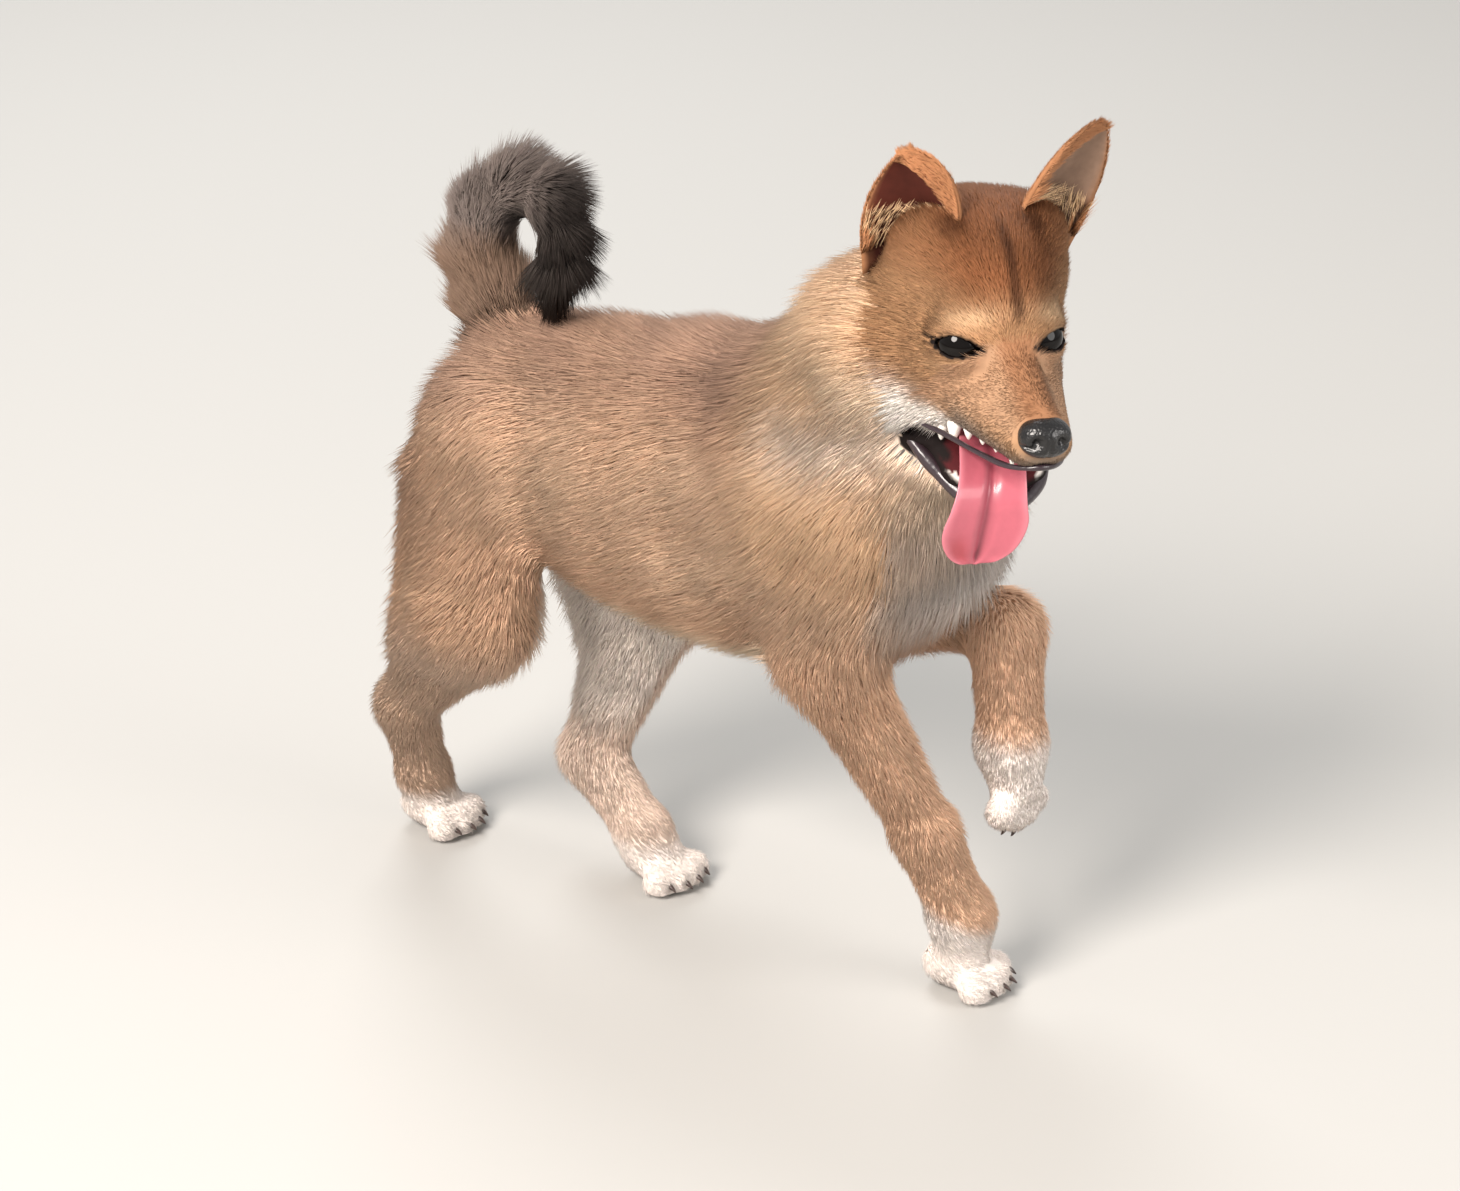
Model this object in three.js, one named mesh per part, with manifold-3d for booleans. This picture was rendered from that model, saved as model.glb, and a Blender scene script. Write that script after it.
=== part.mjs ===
// Shiba inu puppy, trotting: a still life-size model, in millimetres with +Z up.
// The puppy faces +X, its left side is +Y, and the three planted paws stand on z = 0.
// Every flesh piece is cut from one smooth body that reaches out to the tips of the coat.

import * as THREE from 'three';
import { mergeVertices } from 'three/addons/utils/BufferGeometryUtils.js';
import Module from 'manifold-3d';

const wasm = await Module();
wasm.setup();

// Driving dimensions
const seamGap = 0.3;
const headYaw = -40;
const headRoll = -1;
const eyesPlace = new THREE.Vector3(211.8, -39.4, 317);
const eyeRadius = 9.5;
const eyeSpacing = 39;
const earThickness = 4.5;
const tongueThickness = 5;
const cell = { torso: 14, neck: 13, head: 7.4, jaw: 7.5, thigh: 11, shank: 8.6, paw: 6, tail: 8.5 };

// Colours of the coat and of the bare parts
const finish = {
  coat: { color: '#bd8a58', roughness: 0.92, metalness: 0 },
  back: { color: '#8a6548', roughness: 0.92, metalness: 0 },
  face: { color: '#b8763f', roughness: 0.9, metalness: 0 },
  leg: { color: '#cf9c66', roughness: 0.9, metalness: 0 },
  white: { color: '#f0e6dc', roughness: 0.9, metalness: 0 },
  tail: { color: '#6a5a50', roughness: 0.92, metalness: 0 },
  lip: { color: '#2c2028', roughness: 0.5, metalness: 0 },
  nose: { color: '#17141a', roughness: 0.35, metalness: 0 },
  eye: { color: '#120c0a', roughness: 0.08, metalness: 0 },
  tongue: { color: '#d8828c', roughness: 0.4, metalness: 0 },
};

const vec = (x, y, z) => new THREE.Vector3(x, y, z);
const mirror = (side, [f, l, u]) => [f, l * side, u];

// The head's own frame: forward, left and up from the midpoint between the eyes
const headTurn = new THREE.Matrix4()
  .makeTranslation(eyesPlace.x, eyesPlace.y, eyesPlace.z)
  .multiply(new THREE.Matrix4().makeRotationZ(THREE.MathUtils.degToRad(headYaw)))
  .multiply(new THREE.Matrix4().makeRotationX(THREE.MathUtils.degToRad(headRoll)));
const onHead = (f, l, u) => vec(f, l, u).applyMatrix4(headTurn);
const headWay = (f, l, u) => vec(f, l, u).transformDirection(headTurn);

// Smooth shapes as distance fields

// A limb of round section between two points, flattened along one direction by a factor
function limb(from, to, fromRadius, toRadius, flat = null) {
  const axis = to.clone().sub(from);
  const lengthSq = axis.lengthSq();
  const p = new THREE.Vector3();
  return (x, y, z) => {
    p.set(x - from.x, y - from.y, z - from.z);
    const t = Math.min(1, Math.max(0, p.dot(axis) / lengthSq));
    p.addScaledVector(axis, -t);
    if (flat) {
      p.addScaledVector(flat.way, (flat.factor - 1) * p.dot(flat.way));
    }
    return p.length() - fromRadius - (toRadius - fromRadius) * t;
  };
}

// An ellipsoid whose axes follow a matrix of unit directions
function ellipsoid(centre, radii, turn = null) {
  const p = new THREE.Vector3();
  const back = turn ? turn.clone().invert() : null;
  const least = Math.min(radii.x, radii.y, radii.z);
  return (x, y, z) => {
    p.set(x - centre.x, y - centre.y, z - centre.z);
    if (back) {
      turned(p, back);
    }
    const k = Math.hypot(p.x / radii.x, p.y / radii.y, p.z / radii.z);
    const g = Math.hypot(p.x / radii.x ** 2, p.y / radii.y ** 2, p.z / radii.z ** 2);
    return g > 1e-9 ? (k * (k - 1)) / g : -least;
  };
}
// Turns a vector by a matrix and keeps its length
function turned(vector, matrix) {
  const { x, y, z } = vector;
  const e = matrix.elements;
  return vector.set(e[0] * x + e[4] * y + e[8] * z, e[1] * x + e[5] * y + e[9] * z,
    e[2] * x + e[6] * y + e[10] * z);
}

// Joins fields with a fillet of about the blend width
function blended(blend, fields) {
  return (x, y, z) => {
    let d = fields[0](x, y, z);
    for (let i = 1; i < fields.length; i += 1) {
      const e = fields[i](x, y, z);
      const h = Math.max(blend - Math.abs(d - e), 0) / blend;
      d = Math.min(d, e) - h * h * blend * 0.25;
    }
    return d;
  };
}

// A smooth curve of one value along x through stations [x, value]
function along(stations) {
  return (x) => {
    const last = stations.length - 1;
    if (x <= stations[0][0]) {
      return stations[0][1];
    }
    if (x >= stations[last][0]) {
      return stations[last][1];
    }
    let i = 0;
    while (x > stations[i + 1][0]) {
      i += 1;
    }
    const slope = (j) => {
      const a = stations[Math.max(0, j - 1)];
      const b = stations[Math.min(last, j + 1)];
      return (b[1] - a[1]) / (b[0] - a[0]);
    };
    const [x0, v0] = stations[i];
    const [x1, v1] = stations[i + 1];
    const w = x1 - x0;
    const t = (x - x0) / w;
    const s = 1 - t;
    return v0 * s * s * (1 + 2 * t) + v1 * t * t * (3 - 2 * t)
      + w * slope(i) * t * s * s - w * slope(i + 1) * t * t * s;
  };
}

// Trunk: back line, belly line and half width along the body, rounded at both ends
const backLine = along([[-112, 236], [-87, 254], [-43, 269], [8, 277], [50, 285], [90, 282], [130, 262], [165, 232]]);
const bellyLine = along([[-112, 180], [-70, 170], [-30, 152], [5, 140], [40, 134], [85, 134], [125, 142], [165, 172]]);
const halfWidth = along([[-112, 38], [-80, 46], [-40, 49], [5, 55], [50, 58], [95, 57], [130, 50], [165, 38]]);
const trunkRear = -97;
const trunkFront = 181;
const trunkRound = 42;

function trunk(x, y, z) {
  const rear = Math.max(0, trunkRear + trunkRound - x) / trunkRound;
  const front = Math.max(0, x - (trunkFront - trunkRound)) / trunkRound;
  const top = backLine(x);
  const bottom = bellyLine(x);
  const w = halfWidth(x);
  const h = (top - bottom) / 2;
  const middle = (top + bottom) / 2;
  const side = (Math.abs(y) / w) ** 2.3 + (Math.abs(z - middle) / h) ** 2.3;
  const end = Math.hypot(side ** (1 / 2.3), rear, front);
  return (end - 1) * Math.min(w, h, trunkRound + 10);
}

// Neck with its ruff, from the shoulders up to the back of the skull
const neckParts = [
  limb(vec(106, 0, 226), vec(150, -13, 296), 60, 50),
  limb(vec(138, -6, 214), vec(172, -21, 268), 40, 30),
];

// Head: skull, cheeks, brow, bridge and lips of the upper jaw
const headAxes = new THREE.Matrix4().extractRotation(headTurn);
const skullParts = [
  ellipsoid(onHead(-41, 0, 10), vec(48, 35, 42), headAxes),
  limb(onHead(-24, 15, -11), onHead(-46, 18, -13), 19, 25),
  limb(onHead(-24, -17, -11), onHead(-46, -21, -13), 22, 29),
  limb(onHead(-38, 23, 31), onHead(-42, 20, 20), 19, 20),
  limb(onHead(-38, -22, 30), onHead(-42, -20, 20), 18, 20),
  limb(onHead(-5, 13, 9), onHead(-5, -13, 9), 9, 9),
];
const muzzleParts = [
  limb(onHead(-4, 0, -9), onHead(39, 0, -19.5), 14, 9),
  limb(onHead(-16, 13, -19), onHead(37, 5, -25), 15, 9.5),
  limb(onHead(-16, -13, -19), onHead(37, -5, -25), 15, 9.5),
];
const skull = blended(14, skullParts);
const muzzle = blended(7, muzzleParts);
const palate = limb(onHead(-30, 0, -42), onHead(34, 0, -35), 13, 5.5);


// Legs: joints [x, y, z] and the radius of the coat at each
const legs = {
  fore_right: {
    joints: [[130, -32, 222], [128, -40, 160], [160, -13, 78], [171, 0, 36]],
    radii: [40, 24, 15.5, 14.5],
    paw: { at: [171, 3, 11], way: [0.96, 0.2, 0] },
  },
  fore_left: {
    joints: [[132, 32, 220], [112, 43, 158], [169, 34, 158], [175, 31, 106]],
    radii: [40, 24, 17.5, 15.5],
    paw: { at: [179, 29, 90], way: [0.12, -0.05, -1], hanging: true },
  },
  hind_right: {
    joints: [[-60, -26, 212], [-62, -40, 136], [-117, -22, 70], [-120, -8, 28]],
    radii: [39, 33, 15.5, 12.5],
    hamstring: -24,
    paw: { at: [-115, -4, 11], way: [0.98, 0.12, 0] },
  },
  hind_left: {
    joints: [[-60, 26, 212], [-18, 38, 136], [-40, 17, 50], [-6, 10, 22]],
    radii: [39, 32, 16, 13],
    hamstring: -22,
    paw: { at: [3, 10, 11], way: [0.98, -0.1, 0] },
  },
};

// The thighs and shoulders are flatter from side to side than from front to back
const sideWay = vec(0, 1, 0);
function legFields(leg) {
  const joint = leg.joints.map((j) => vec(...j));
  const flat = { way: sideWay, factor: 1.45 };
  const upper = limb(joint[0], joint[1], leg.radii[0], leg.radii[1], flat);
  const middle = limb(joint[1], joint[2], leg.radii[1] * 0.95, leg.radii[2], { way: sideWay, factor: 1.2 });
  const lower = limb(joint[2], joint[3], leg.radii[2], leg.radii[3]);
  const behind = vec(leg.hamstring ?? 0, 0, 0);
  const back = limb(joint[0].clone().lerp(joint[1], 0.25).add(behind),
    joint[1].clone().lerp(joint[2], 0.3).addScaledVector(behind, 0.75), 26, 20, flat);
  return { upper: leg.hamstring ? blended(14, [upper, back]) : upper, middle, lower,
    foot: pawField(leg, joint[3]) };
}

// A paw: a rounded body with four toes spread in front of it
const claw = { width: 3.4, length: 8 };
const toe = { radius: 8.2, reach: 13, spread: 8.4, inner: 3.2 };
function pawFrame(leg) {
  const way = vec(...leg.paw.way).normalize();
  const up = leg.paw.hanging ? vec(1, 0, 0.12).normalize() : vec(0, 0, 1);
  const across = up.clone().cross(way).normalize();
  return { centre: vec(...leg.paw.at), way, across, up: way.clone().cross(across) };
}
function toePlaces(leg) {
  const { centre, way, across, up } = pawFrame(leg);
  return [-1.5, -0.5, 0.5, 1.5].map((k) => {
    const outer = Math.abs(k) > 1;
    return centre.clone()
      .addScaledVector(way, toe.reach - (outer ? toe.inner : 0))
      .addScaledVector(across, k * toe.spread * 0.93)
      .addScaledVector(up, leg.paw.hanging ? 0 : -5.2);
  });
}
function pawField(leg, ankle) {
  const { centre, way } = pawFrame(leg);
  const heel = centre.clone().addScaledVector(way, -9);
  const toes = toePlaces(leg).map((place) => limb(centre, place, 8, toe.radius));
  return blended(3.5, [blended(6, [limb(ankle, centre, leg.radii[3], 11.5),
    limb(heel, centre, 10.5, 11)]), ...toes]);
}

const fields = {};
for (const [name, leg] of Object.entries(legs)) {
  fields[name] = legFields(leg);
}
const trunkAndNeck = blended(26, [trunk, ...neckParts]);
const thighs = Object.values(fields).map((leg) => leg.upper);
const rump = blended(22, [trunkAndNeck, ...thighs]);
const shaded = {};
for (const [name, leg] of Object.entries(fields)) {
  const shank = blended(9, [leg.middle, leg.lower, leg.foot]);
  shaded[name] = blended(16, [rump, shank]);
}
const legsAlone = Object.fromEntries(Object.entries(fields).map(([name, leg]) => [name,
  blended(12, [leg.upper, blended(9, [leg.middle, leg.lower, leg.foot])])]));

// Tail: rises from the rump and curls forward over the back
const tailPath = [[-62, 0, 240, 24], [-74, 0, 262, 20], [-85, 0, 284, 17.5], [-82, 0, 306, 16.5],
  [-66, -1, 320, 15], [-48, -3, 321, 14], [-38, -5, 309, 12.5], [-36, -7, 296, 10.5], [-38, -8, 285, 6]];
const tailParts = [];
for (let i = 0; i + 1 < tailPath.length; i += 1) {
  const [ax, ay, az, ar] = tailPath[i];
  const [bx, by, bz, br] = tailPath[i + 1];
  tailParts.push(limb(vec(ax, ay, az), vec(bx, by, bz), ar, br));
}
const tail = blended(4, tailParts);

// Whole body without the head
const wholeTrunk = (x, y, z) => Math.min(...Object.values(shaded).map((f) => f(x, y, z)));
const trunkWithTail = blended(14, [wholeTrunk, tail]);
const neckAndSkull = blended(18, [trunkAndNeck, skull]);
const neckAndFace = blended(9, [neckAndSkull, muzzle]);
const neckAndHead = (x, y, z) => Math.max(neckAndFace(x, y, z), -palate(x, y, z));

// Polygonises a field inside a box, on a grid that moves a little where two patches pinch
function polygonise(field, low, high, size) {
  for (let shift = 0; shift < 0.95; shift += 0.13) {
    const net = netOf(field, low.map((v, k) => v - ((shift * (k + 1)) % 1) * size), high, size);
    try {
      return solidOf(new Float32Array(net.points), new Uint32Array(net.faces));
    } catch (fault) {
      continue;
    }
  }
  throw new Error('the surface pinches at every place of the grid');
}

// The net of a field. Each cell has one corner for each patch of surface in it, and each
// crossed grid edge gives a quad between the four cells round it.
function netOf(field, low, high, size) {
  const n = [0, 1, 2].map((k) => Math.ceil((high[k] - low[k]) / size) + 1);
  const at = (i, j, k) => (k * n[1] + j) * n[0] + i;
  const value = new Float64Array(n[0] * n[1] * n[2]);
  for (let k = 0; k < n[2]; k += 1) {
    for (let j = 0; j < n[1]; j += 1) {
      for (let i = 0; i < n[0]; i += 1) {
        const rim = i === 0 || j === 0 || k === 0 || i === n[0] - 1 || j === n[1] - 1 || k === n[2] - 1;
        const d = field(low[0] + i * size, low[1] + j * size, low[2] + k * size);
        value[at(i, j, k)] = rim ? Math.max(d, size / 2) : d;
      }
    }
  }
  const points = [];
  const patches = new Map();
  const patchesOf = (i, j, k) => {
    const key = at(i, j, k);
    if (!patches.has(key)) {
      patches.set(key, cellPatches(value, at, [i, j, k], (sum, count) => {
        const p = sum.map((v, m) => low[m] + (v / count) * size);
        settle(field, p, size, low, high);
        points.push(...p);
        return points.length / 3 - 1;
      }));
    }
    return patches.get(key);
  };
  const faces = [];
  for (let k = 0; k < n[2] - 1; k += 1) {
    for (let j = 0; j < n[1] - 1; j += 1) {
      for (let i = 0; i < n[0] - 1; i += 1) {
        for (let axis = 0; axis < 3; axis += 1) {
          const b = [i, j, k];
          b[axis] += 1;
          const inside = value[at(i, j, k)] < 0;
          if (inside === value[at(...b)] < 0) {
            continue;
          }
          const ring = [[0, 0], [1, 0], [1, 1], [0, 1]].map(([s, t]) => {
            const c = [i, j, k];
            c[(axis + 1) % 3] -= s;
            c[(axis + 2) % 3] -= t;
            return patchesOf(...c)[axis * 4 + s + 2 * t];
          });
          if (!inside) {
            ring.reverse();
          }
          faces.push(ring[0], ring[1], ring[2], ring[0], ring[2], ring[3]);
        }
      }
    }
  }
  return { points, faces };
}

// The patches of one cell: for each of its twelve edges, the corner of the patch that crosses it
function cellPatches(value, at, cellAt, newCorner) {
  const inside = (offset) => value[at(...cellAt.map((c, m) => c + offset[m]))] < 0;
  const group = Array.from({ length: 12 }, (_, e) => e);
  const find = (e) => (group[e] === e ? e : find(group[e]));
  for (let m = 0; m < 3; m += 1) {
    const a1 = (m + 1) % 3;
    const a2 = (m + 2) % 3;
    for (let q = 0; q < 2; q += 1) {
      const sign = (u, v) => {
        const offset = [0, 0, 0];
        offset[m] = q;
        offset[a1] = u;
        offset[a2] = v;
        return inside(offset);
      };
      const along1 = (v) => a1 * 4 + v + 2 * q;
      const along2 = (u) => a2 * 4 + q + 2 * u;
      const crossed = [];
      for (const w of [0, 1]) {
        if (sign(0, w) !== sign(1, w)) {
          crossed.push(along1(w));
        }
        if (sign(w, 0) !== sign(w, 1)) {
          crossed.push(along2(w));
        }
      }
      if (crossed.length === 2) {
        group[find(crossed[0])] = find(crossed[1]);
      } else if (crossed.length === 4) {
        for (const [u, v] of [[0, 0], [0, 1], [1, 0], [1, 1]]) {
          if (sign(u, v)) {
            group[find(along1(v))] = find(along2(u));
          }
        }
      }
    }
  }
  const sums = new Map();
  for (let e = 0; e < 12; e += 1) {
    const axis = e >> 2;
    const a = [...cellAt];
    a[(axis + 1) % 3] += e & 1;
    a[(axis + 2) % 3] += (e >> 1) & 1;
    const b = [...a];
    b[axis] += 1;
    const va = value[at(...a)];
    const vb = value[at(...b)];
    if ((va < 0) === (vb < 0)) {
      continue;
    }
    a[axis] += va / (va - vb);
    const root = find(e);
    const sum = sums.get(root) ?? { total: [0, 0, 0], count: 0, edges: [] };
    sum.total = sum.total.map((v, m) => v + a[m]);
    sum.count += 1;
    sum.edges.push(e);
    sums.set(root, sum);
  }
  const result = [];
  for (const { total, count, edges } of sums.values()) {
    const corner = newCorner(total, count);
    for (const e of edges) {
      result[e] = corner;
    }
  }
  return result;
}

// Moves a corner onto the surface itself, by at most a fraction of a cell
function settle(field, p, size, low, high) {
  const nearRim = p.some((v, m) => v < low[m] + size * 1.6 || v > high[m] - size * 1.6);
  if (nearRim) {
    return;
  }
  const e = 0.4;
  for (let round = 0; round < 2; round += 1) {
    const d = field(...p);
    const g = [0, 1, 2].map((m) => {
      const q = [...p];
      q[m] += e;
      return (field(...q) - d) / e;
    });
    const slope = Math.max(0.3, Math.hypot(...g));
    const step = Math.max(-size * 0.3, Math.min(size * 0.3, d / slope));
    for (let m = 0; m < 3; m += 1) {
      p[m] -= (step * g[m]) / slope;
    }
  }
}

// Solids for joining and cutting
function solidOf(vertProperties, triVerts) {
  return new wasm.Manifold(new wasm.Mesh({ numProp: 3, vertProperties, triVerts }));
}
function solidFrom(geometry) {
  const plain = geometry.clone();
  plain.deleteAttribute('normal');
  plain.deleteAttribute('uv');
  const merged = mergeVertices(plain, 1e-4);
  return solidOf(new Float32Array(merged.attributes.position.array), new Uint32Array(merged.index.array));
}
function geometryOf(solid) {
  const mesh = largest(solid).getMesh();
  const geometry = new THREE.BufferGeometry();
  geometry.setAttribute('position', new THREE.BufferAttribute(new Float32Array(mesh.vertProperties), 3));
  geometry.setIndex(new THREE.BufferAttribute(new Uint32Array(mesh.triVerts), 1));
  geometry.computeVertexNormals();
  return geometry;
}
function largest(solid) {
  return solid.decompose().sort((a, b) => b.volume() - a.volume())[0];
}

// Keeps the side of a plane that its normal points to, less half the seam
function keepSide(solid, point, normal) {
  const n = normal.clone().normalize();
  return solid.trimByPlane([n.x, n.y, n.z], n.dot(point) + seamGap / 2);
}
const otherSide = (normal) => normal.clone().negate();

// A straight block between two corners
function block(low, high, grow = 0) {
  const size = [0, 1, 2].map((k) => high[k] - low[k] + 2 * grow);
  const geometry = new THREE.BoxGeometry(...size);
  geometry.translate(...[0, 1, 2].map((k) => (low[k] + high[k]) / 2));
  return solidFrom(geometry);
}

const model = new THREE.Group();
function addNode(name, solid, look) {
  const mesh = new THREE.Mesh(geometryOf(solid), new THREE.MeshStandardMaterial(finish[look]));
  mesh.name = name;
  model.add(mesh);
}

// Planes between the pieces
const neckCut = { point: vec(112, 0, 246), normal: vec(0.42, -0.05, 0.9) };
const headCut = { point: onHead(-50, 0, -26), normal: headWay(0.8, 0, 0.6) };
const waist = { point: vec(14, 0, 200), normal: vec(1, 0, 0.08) };
const tailCuts = [
  { point: vec(-72, 0, 258), normal: vec(-0.45, 0, 0.9) },
  { point: vec(-83, 0, 302), normal: vec(0.2, 0, 1) },
  { point: vec(-45, -3, 318), normal: vec(1, 0, -0.35) },
];
const legBlocks = {
  fore_right: { low: [84, -110, -10], high: [200, -21, 182] },
  fore_left: { low: [84, 21, -10], high: [200, 110, 182] },
  hind_right: { low: [-170, -110, -10], high: [-14, -19, 190] },
  hind_left: { low: [-170, 19, -10], high: [26, 110, 190] },
};
const groin = { low: [-190, -90, 90], high: [-22, 90, 150] };
const loosened = (field) => (x, y, z) => field(x, y, z) - seamGap * 2;

// Claws: a five sided cone at the tip of each toe
function withClaws(paw, leg) {
  const { way, up } = pawFrame(leg);
  const down = leg.paw.hanging ? 0.35 : -0.42;
  let result = paw;
  for (const place of toePlaces(leg)) {
    const point = way.clone().addScaledVector(up, down).normalize();
    const cone = new THREE.ConeGeometry(claw.width / 2, claw.length, 5);
    cone.applyQuaternion(new THREE.Quaternion().setFromUnitVectors(vec(0, 1, 0), point));
    const root = place.clone().addScaledVector(up, leg.paw.hanging ? -2 : 3).addScaledVector(way, toe.radius - 3.5);
    result = result.add(solidFrom(cone.translate(...root.addScaledVector(point, claw.length / 2))));
  }
  return result;
}

// Legs, each in three pieces cut across the bones
const legSockets = [];
for (const [name, leg] of Object.entries(legs)) {
  const joint = leg.joints.map((j) => vec(...j));
  const region = legBlocks[name];
  const kneeWay = joint[1].clone().sub(joint[0]).normalize()
    .add(joint[2].clone().sub(joint[1]).normalize());
  const ankleWay = joint[3].clone().sub(joint[2]);
  const kneeCut = joint[1].clone().lerp(joint[2], 0.28);
  const ankleCut = joint[2].clone().lerp(joint[3], 0.72);
  const thigh = polygonise(shaded[name], [region.low[0] - 12, Math.max(-84, region.low[1] - 12), 100],
    [region.high[0] + 12, Math.min(84, region.high[1] + 12), 206], cell.thigh);
  const upper = keepSide(thigh.intersect(block(region.low, region.high)), kneeCut, otherSide(kneeWay));
  addNode('upper_' + name, upper, name.startsWith('fore') ? 'leg' : 'coat');
  const span = [0, 1, 2].map((k) => leg.joints.slice(1).map((j) => j[k]));
  const low = span.map((s) => Math.min(...s) - 36);
  const high = span.map((s) => Math.max(...s) + 36);
  const shank = polygonise(legsAlone[name], low, high, cell.shank);
  const middle = keepSide(keepSide(shank, kneeCut, kneeWay), ankleCut, otherSide(ankleWay));
  addNode('lower_' + name, middle, 'leg');
  const socket = polygonise(loosened(legsAlone[name]), low, high, cell.shank);
  legSockets.push(keepSide(socket, kneeCut, kneeWay));
  const centre = leg.paw.at;
  let paw = polygonise(legsAlone[name], centre.map((c) => c - 42), centre.map((c) => c + 42), cell.paw);
  paw = keepSide(paw, ankleCut, ankleWay);
  addNode('paw_' + name, withClaws(paw, leg).trimByPlane([0, 0, 1], 0), 'white');
}

// Torso in two pieces
let torso = polygonise(trunkWithTail, [-178, -82, 96], [214, 82, 316], cell.torso);
for (const region of Object.values(legBlocks)) {
  torso = torso.subtract(block(region.low, region.high, seamGap));
}
for (const socket of legSockets) {
  torso = torso.subtract(socket);
}
torso = keepSide(torso, neckCut.point, otherSide(neckCut.normal));
torso = keepSide(torso, vec(0, 0, 122), vec(0, 0, 1));
torso = torso.subtract(block(groin.low, groin.high));
const tailSocket = keepSide(block([-140, -60, 200], [-20, 60, 360]), tailCuts[0].point, tailCuts[0].normal);
torso = torso.subtract(tailSocket);
addNode('torso_rear', keepSide(torso, waist.point, otherSide(waist.normal)), 'back');
addNode('torso_front', keepSide(torso, waist.point, waist.normal), 'coat');

// Tail in three lengths
const tailSolid = polygonise(blended(14, [trunkAndNeck, tail]), [-120, -40, 226], [-2, 36, 352], cell.tail);
const tailAbove = keepSide(tailSolid, tailCuts[0].point, tailCuts[0].normal);
const farHalf = keepSide(tailAbove, tailCuts[1].point, tailCuts[1].normal);
const tipSide = keepSide(tailAbove, vec(-60, 0, 300), vec(1, 0, 0.0));
addNode('tail_root', keepSide(keepSide(tailAbove, tailCuts[1].point, otherSide(tailCuts[1].normal)),
  vec(-60, 0, 300), vec(-1, 0, 0)), 'back');
addNode('tail_middle', keepSide(farHalf, tailCuts[2].point, otherSide(tailCuts[2].normal)), 'tail');
addNode('tail_tip', keepSide(tipSide, tailCuts[2].point, tailCuts[2].normal), 'tail');

// Neck and head
const neckSolid = polygonise(neckAndHead, [18, -90, 200], [222, 66, 372], cell.neck);
addNode('neck', keepSide(keepSide(neckSolid, neckCut.point, neckCut.normal), headCut.point,
  otherSide(headCut.normal)), 'coat');

// A tube of small round section through points in the head's frame
function tube(points, radius) {
  const path = new THREE.CatmullRomCurve3(points.map((p) => onHead(...p)));
  const section = new THREE.Shape();
  for (let i = 0; i < 6; i += 1) {
    const turn = (i / 6) * 2 * Math.PI;
    section[i ? 'lineTo' : 'moveTo'](radius * Math.cos(turn), radius * Math.sin(turn));
  }
  return solidFrom(new THREE.ExtrudeGeometry(section, { steps: 16, bevelEnabled: false, extrudePath: path }));
}

// A ball, drawn out along the head's axes and set in the head's frame
function headBall(centre, radii, around = 14, high = 10) {
  const ball = new THREE.SphereGeometry(1, around, high).scale(...radii);
  return solidFrom(ball.applyMatrix4(headAxes).translate(...onHead(...centre)));
}

// A tooth: a five sided cone with its root inside the gum
function tooth(root, tip, width) {
  const from = onHead(...root);
  const way = onHead(...tip).sub(from);
  const cone = new THREE.ConeGeometry(width / 2, way.length(), 5);
  cone.applyQuaternion(new THREE.Quaternion().setFromUnitVectors(vec(0, 1, 0), way.clone().normalize()));
  return solidFrom(cone.translate(...from.addScaledVector(way, 0.5)));
}

// Teeth: canines, cheek teeth and incisors of one jaw, mirrored to both sides
const upperTeeth = [
  { root: [32, 8.5, -30], tip: [33, 9, -43], width: 5 },
  { root: [20, 12, -31], tip: [20, 12.5, -38.5], width: 5 },
  { root: [10, 15, -31], tip: [10, 15.5, -39], width: 6 },
  { root: [-2, 17.5, -31], tip: [-2, 18, -39.5], width: 8 },
  { root: [38, 2, -30], tip: [39, 2, -37], width: 3 },
  { root: [37, 5, -30], tip: [38, 5, -37], width: 3 },
];
const lowerTeeth = [
  { root: [-2, 8, -58], tip: [0, 9, -47], width: 5 },
  { root: [-10, 12.5, -53], tip: [-10, 13, -44], width: 5.5 },
  { root: [-18, 16, -47], tip: [-18, 16.5, -39.5], width: 6.5 },
];
function withTeeth(solid, teeth) {
  let result = solid;
  for (const { root, tip, width } of teeth) {
    for (const side of [1, -1]) {
      result = result.add(tooth(mirror(side, root), mirror(side, tip), width));
    }
  }
  return result;
}

// Lower jaw with its lip, open below the upper one
const lowerLip = [[-23, -25.5, -37], [-13, -20, -47], [-3, -12.5, -54], [5, -4, -57],
  [5, 4, -57], [-3, 12.5, -54], [-13, 20, -47], [-23, 25.5, -37]];
const upperLip = [[-24, -26.5, -32], [-8, -24, -35], [14, -18.5, -37], [34, -12, -36], [43, 0, -33],
  [34, 12, -36], [14, 18.5, -37], [-8, 24, -35], [-24, 26.5, -32]];
const lipThickness = 2.4;
function jawSolid(grow) {
  const parts = [];
  for (const side of [1, -1]) {
    parts.push(limb(onHead(-42, 18 * side, -36), onHead(-12, 14 * side, -54), 12 + grow, 8.5 + grow));
    parts.push(limb(onHead(-12, 14 * side, -54), onHead(-1, 4 * side, -61), 8.5 + grow, 6.5 + grow));
  }
  parts.push(limb(onHead(-40, 0, -50), onHead(-4, 0, -63), 13 + grow, 6.5 + grow));
  const bone = polygonise(blended(5, parts), [138, -86, 232], [248, 4, 306], cell.jaw);
  return withTeeth(bone.add(tube(lowerLip, lipThickness + grow)), lowerTeeth);
}

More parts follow.
